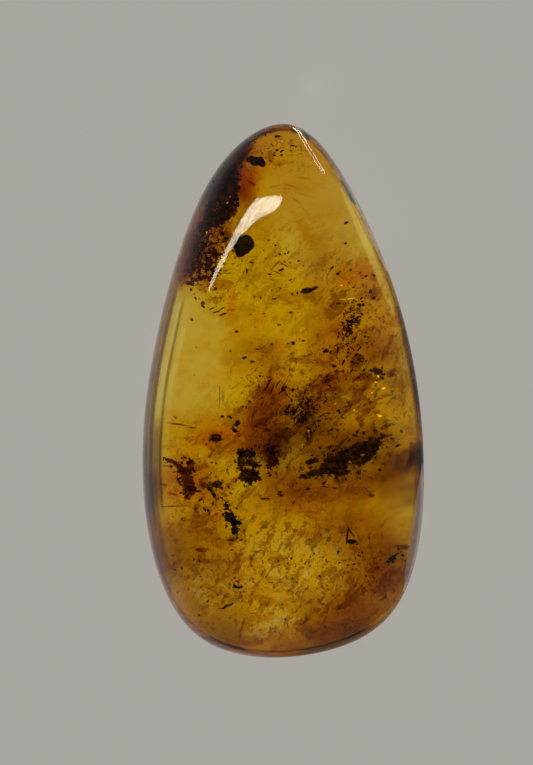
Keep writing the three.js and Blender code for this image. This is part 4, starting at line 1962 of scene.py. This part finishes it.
@dataclass(frozen=True)
class Reflector:
    """A glowing panel that shows only as a reflection on the polish.

    rows: pairs of places seen from above, the left and right edges of its reflection, from one end
    to the other. away: how far off it stands from where it is mirrored. streak_mm: the width of its
    streaks, and streaked: the share of its light that is missing between them.
    """

    name: str
    rows: tuple[tuple[tuple[float, float], tuple[float, float]], ...]
    strength: float
    away: float
    colour: str = "#fff8ea"
    streak_mm: float = 4.5
    streaked: float = 0.5

    def build(self, form: DropForm, eye: Vector) -> None:
        """Builds the panel where the skin mirrors it to the eye.

        Args:
            form: The shape of the skin.
            eye: Where the pebble is seen from.
        """
        mesh = bmesh.new()
        edges = []
        for row in self.rows:
            edges.append([mesh.verts.new(form.mirrored(*place, eye, self.away)) for place in row])
        for (left, right), (next_left, next_right) in zip(edges, edges[1:]):
            mesh.faces.new((left, right, next_right, next_left))
        made = new_material(self.name)
        here = add_node(made.node_tree, "ShaderNodeTexCoord").outputs["Object"]
        streaks = noise_share(made.node_tree, here, self.streak_mm, 0.4, 0.54, (5.0, 1.0), 30)
        shine = add_node(
            made.node_tree,
            "ShaderNodeMath",
            {"operation": "MULTIPLY_ADD"},
            {0: streaks, 1: self.strength * self.streaked, 2: self.strength * (1 - self.streaked)},
        ).outputs[0]
        glow = add_node(
            made.node_tree, "ShaderNodeEmission", inputs={"Color": linear(self.colour), "Strength": shine}
        )
        add_output(made.node_tree, glow.outputs[0])
        panel = finished_piece(self.name, mesh, made)
        panel.visible_camera = False
        panel.visible_diffuse = False
        panel.visible_transmission = False
        panel.visible_shadow = False
        panel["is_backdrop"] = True


def line_rows(
    points: tuple[tuple[float, float], ...], width: float
) -> tuple[tuple[tuple[float, float], tuple[float, float]], ...]:
    """Gives a line a width across, as rows of a left and a right edge."""
    rows = []
    for k, (x, y) in enumerate(points):
        before, after = Vector(points[max(k - 1, 0)]), Vector(points[min(k + 1, len(points) - 1)])
        along = (after - before).normalized()
        side = Vector((-along.y, along.x)) * width / 2
        rows.append(((x + side.x, y + side.y), (x - side.x, y - side.y)))
    return tuple(rows)


WINDOW_ROWS = (
    ((-0.163, 8.97), (-0.022, 8.9)),
    ((-0.673, 8.96), (-0.191, 8.52)),
    ((-1.184, 8.84), (-0.505, 8.2)),
    ((-1.525, 8.56), (-1.015, 8.0)),
    ((-1.722, 8.22), (-1.296, 7.82)),
    ((-1.951, 7.876), (-1.638, 7.449)),
    ((-2.232, 7.365), (-1.923, 7.192)),
)
WINDOW_TAIL_ROWS = (
    ((-2.232, 7.365), (-1.96, 7.17)),
    ((-2.462, 6.911), (-2.25, 6.73)),
    ((-2.687, 6.457), (-2.53, 6.37)),
    ((-2.944, 5.947), (-2.77, 5.858)),
    ((-3.202, 5.403), (-3.05, 5.347)),
    ((-3.352, 4.954), (-3.25, 4.921)),
    ((-3.483, 4.584), (-3.43, 4.556)),
)
RIM_GLOW_ROWS = (
    ((-4.93, 4.06), (-4.75, 4.06)),
    ((-5.08, 3.1), (-4.9, 3.1)),
    ((-5.25, 2.24), (-5.07, 2.24)),
    ((-5.48, 1.4), (-5.3, 1.4)),
    ((-5.66, 0.48), (-5.5, 0.48)),
    ((-5.78, -0.4), (-5.65, -0.4)),
    ((-5.86, -1.13), (-5.76, -1.13)),
    ((-5.92, -1.9), (-5.86, -1.9)),
)
INNER_RIM_GLOW_ROWS = (
    ((-4.7, 2.9), (-4.5, 2.9)),
    ((-4.85, 2.24), (-4.6, 2.24)),
    ((-5.06, 1.4), (-4.8, 1.4)),
    ((-5.28, 0.48), (-5.05, 0.48)),
    ((-5.46, -0.4), (-5.3, -0.4)),
    ((-5.58, -1.13), (-5.46, -1.13)),
)
TIP_EDGE_ROWS = (
    ((0.521, 12.292), (0.543, 12.358)),
    ((0.668, 12.102), (0.75, 12.274)),
    ((0.824, 11.926), (0.966, 12.156)),
    ((0.979, 11.772), (1.165, 12.02)),
    ((1.167, 11.618), (1.372, 11.849)),
    ((1.371, 11.478), (1.564, 11.668)),
    ((2.037, 10.798), (2.192, 10.909)),
    ((2.476, 10.022), (2.689, 10.152)),
    ((2.876, 9.253), (3.129, 9.394)),
    ((3.277, 8.496), (3.535, 8.628)),
    ((3.66, 7.76), (3.904, 7.875)),
    ((4.043, 7.012), (4.254, 7.104)),
    ((4.413, 6.287), (4.571, 6.35)),
    ((4.805, 5.554), (4.871, 5.578)),
)
SHOULDER_GLOW_ROWS = (
    ((2.634, 9.357), (2.721, 9.406)),
    ((3.049, 8.327), (3.245, 8.426)),
    ((3.431, 7.303), (3.722, 7.436)),
    ((3.831, 6.311), (4.154, 6.445)),
    ((4.243, 5.345), (4.543, 5.456)),
    ((4.678, 4.401), (4.887, 4.469)),
    ((5.09, 3.46), (5.186, 3.487)),
)
LOWER_EDGE_ROWS = (
    ((6.444, -3.401), (6.544, -3.399)),
    ((6.298, -4.251), (6.548, -4.254)),
    ((6.134, -5.099), (6.524, -5.118)),
    ((5.998, -5.914), (6.466, -5.956)),
    ((5.859, -6.75), (6.364, -6.824)),
    ((5.731, -7.579), (6.209, -7.683)),
    ((5.651, -8.429), (5.985, -8.535)),
    ((5.569, -9.335), (5.659, -9.378)),
)
BASE_EDGE_ROWS = (
    ((4.593, -10.802), (4.627, -10.838)),
    ((4.011, -11.094), (4.119, -11.25)),
    ((3.406, -11.359), (3.528, -11.6)),
    ((2.756, -11.597), (2.864, -11.888)),
    ((2.042, -11.802), (2.126, -12.121)),
    ((1.321, -11.981), (1.376, -12.287)),
    ((0.583, -12.126), (0.61, -12.394)),
    ((-0.157, -12.255), (-0.151, -12.445)),
    ((-0.887, -12.39), (-0.89, -12.44)),
)
UPPER_TUBE_LINE = ((0.45, 12.285), (0.764, 11.827), (1.087, 11.251), (1.466, 10.656), (1.85, 10.057))
LOWER_TUBE_LINE = ((0.586, 12.243), (0.905, 11.817), (1.228, 11.279), (1.574, 10.703), (1.925, 10.085))
TUBE_WIDTH = 0.036
REFLECTORS = (
    Reflector("window_panel", WINDOW_ROWS, 16.5, 400.0, "#f2eed8", 7.0, 0.6),
    Reflector("window_edge_panel", WINDOW_TAIL_ROWS, 12.5, 400.0, "#f2eed8", 4.0, 0.65),
    Reflector("rim_glow_panel", RIM_GLOW_ROWS, 1.0, 3.0, "#dcf0e0"),
    Reflector("inner_rim_glow_panel", INNER_RIM_GLOW_ROWS, 1.0, 3.0, "#ffe4a0"),
    Reflector("tip_edge_panel", TIP_EDGE_ROWS, 0.8, 3.0, "#f4ecd8"),
    Reflector("shoulder_glow_panel", SHOULDER_GLOW_ROWS, 1.1, 3.0, "#ffe090"),
    Reflector("lower_edge_panel", LOWER_EDGE_ROWS, 0.8, 3.0, "#dcd8d4"),
    Reflector("base_edge_panel", BASE_EDGE_ROWS, 0.6, 3.0, "#e4b888"),
    Reflector("upper_tube_panel", line_rows(UPPER_TUBE_LINE, TUBE_WIDTH), 9.0, 3.0),
    Reflector("lower_tube_panel", line_rows(LOWER_TUBE_LINE, TUBE_WIDTH), 9.0, 3.0),
)


@dataclass
class Studio:
    """The pale floor, the soft light and the camera over the pebble.

    The floor glows a little, as a lightbox does, so that light comes up through the amber.
    """

    floor_half: float = 1500.0
    floor_drop: float = 0.02
    floor_colour: str = "#8f8d88"
    floor_light: str = "#c9c7c0"
    floor_glow: float = 0.65
    tent_radius: float = 1300.0
    tent_light: str = "#fff6e6"
    tent_glow: float = 0.45
    world_colour: str = "#fffcf5"
    world_low: float = 0.12
    world_overhead: float = 0.02
    table_side: tuple[float, float, float] = (-0.55, -0.1, -0.83)
    table_light: float = 0.35
    camera_at: tuple[float, float] = (-0.78, 0.38)
    camera_height: float = 200.0
    frame_height: float = 35.8
    sensor_mm: float = 36.0

    def build_floor(self) -> None:
        """Builds the floor that the pebble lies on."""
        mesh = bmesh.new()
        bmesh.ops.create_grid(mesh, x_segments=1, y_segments=1, size=self.floor_half)
        bmesh.ops.translate(mesh, vec=(0, 0, -self.floor_drop), verts=mesh.verts)
        made = new_material("opal_acrylic")
        shader = add_node(
            made.node_tree,
            "ShaderNodeBsdfPrincipled",
            inputs={
                "Base Color": linear(self.floor_colour),
                "Roughness": 0.9,
                "Emission Color": linear(self.floor_light),
                "Emission Strength": self.floor_glow,
            },
        )
        add_output(made.node_tree, shader.outputs[0])
        floor = finished_piece("floor", mesh, made)
        floor.visible_glossy = False
        floor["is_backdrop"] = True

    def build_tent(self) -> None:
        """Builds the light tent, which is seen only through the amber, at its rim."""
        mesh = bmesh.new()
        bmesh.ops.create_uvsphere(mesh, u_segments=48, v_segments=24, radius=self.tent_radius)
        made = new_material("tent_cloth")
        glow = add_node(
            made.node_tree,
            "ShaderNodeEmission",
            inputs={"Color": linear(self.tent_light), "Strength": self.tent_glow},
        )
        add_output(made.node_tree, glow.outputs[0])
        made.cycles.emission_sampling = "NONE"
        tent = finished_piece("light_tent", mesh, made)
        tent.visible_camera = False
        tent.visible_diffuse = False
        tent.visible_glossy = False
        tent.visible_shadow = False
        tent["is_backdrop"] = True

    def build_world(self) -> None:
        """Builds the light of the room, dark overhead, and of the table that the rim mirrors."""
        world = bpy.data.worlds.new("studio")
        bpy.context.scene.world = world
        world.use_nodes = True
        tree = world.node_tree
        tree.nodes.clear()
        up = add_node(tree, "ShaderNodeTexCoord").outputs["Generated"]
        height = add_node(tree, "ShaderNodeSeparateXYZ", inputs={0: up}).outputs["Z"]
        wall_top, overhead = 0.05, 0.5
        room = smooth_share(tree, height, wall_top, overhead, self.world_low, self.world_overhead)
        towards = add_node(
            tree,
            "ShaderNodeVectorMath",
            {"operation": "DOT_PRODUCT"},
            {0: up, 1: Vector(self.table_side).normalized()},
        ).outputs["Value"]
        table_edge, table_middle = 0.45, 1.0
        table = smooth_share(tree, towards, table_edge, table_middle, most=self.table_light)
        strength = add_node(tree, "ShaderNodeMath", {"operation": "ADD"}, {0: room, 1: table}).outputs[0]
        glow = add_node(
            tree,
            "ShaderNodeBackground",
            inputs={"Color": linear(self.world_colour), "Strength": strength},
        )
        add_node(tree, "ShaderNodeOutputWorld", inputs={0: glow.outputs[0]})

    def build_camera(self, focus_height: float) -> None:
        """Builds the camera, straight above the pebble.

        Args:
            focus_height: The height at which the frame has its stated size.
        """
        data = bpy.data.cameras.new("camera")
        data.sensor_width = self.sensor_mm
        data.lens = self.sensor_mm * self.camera_height / self.frame_height
        data.clip_start = 0.01
        data.clip_end = 10.0
        camera = bpy.data.objects.new("camera", data)
        height = self.camera_height + focus_height
        camera.location = Vector((*self.camera_at, height)) * METRES_PER_MM
        bpy.context.scene.collection.objects.link(camera)
        bpy.context.scene.camera = camera

    def build(self, form: DropForm) -> None:
        """Builds the whole studio round the pebble and sets how its light is worked out."""
        self.build_floor()
        self.build_tent()
        self.build_world()
        self.build_camera(form.girdle_height)
        eye = Vector((*self.camera_at, self.camera_height + form.girdle_height))
        for panel in REFLECTORS:
            panel.build(form, eye)
        scene = bpy.context.scene
        scene.view_settings.view_transform = "Standard"
        scene.cycles.max_bounces = 18
        scene.cycles.transmission_bounces = 18
        scene.cycles.glossy_bounces = 6
        scene.cycles.diffuse_bounces = 2


def main() -> None:
    """Builds the pebble and its studio, sized from the solids, and logs the faces of each piece."""
    logging.basicConfig(level=logging.INFO, format="%(message)s")
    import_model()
    solid_low, solid_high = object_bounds()
    size = (solid_high - solid_low) / METRES_PER_MM
    form = DropForm(length=size.y, width=size.x, thickness=size.z)
    flow = FlowPlane()
    Studio().build(form)
    pieces = [AmberBody(form).build()]
    pieces.append(FlowSheet(form, flow, MAIN_FLOW_STAIN).build())
    pieces += StainedResin(form, flow).build()
    pieces += Debris(form, flow).build()
    pieces.append(Flecks(form, flow, DARK_GRAIN).build())
    pieces += Glints(form, flow).build()
    for piece in pieces:
        log.info("%s: %d faces", piece.name, len(piece.data.polygons))


if __name__ == "__main__":
    main()
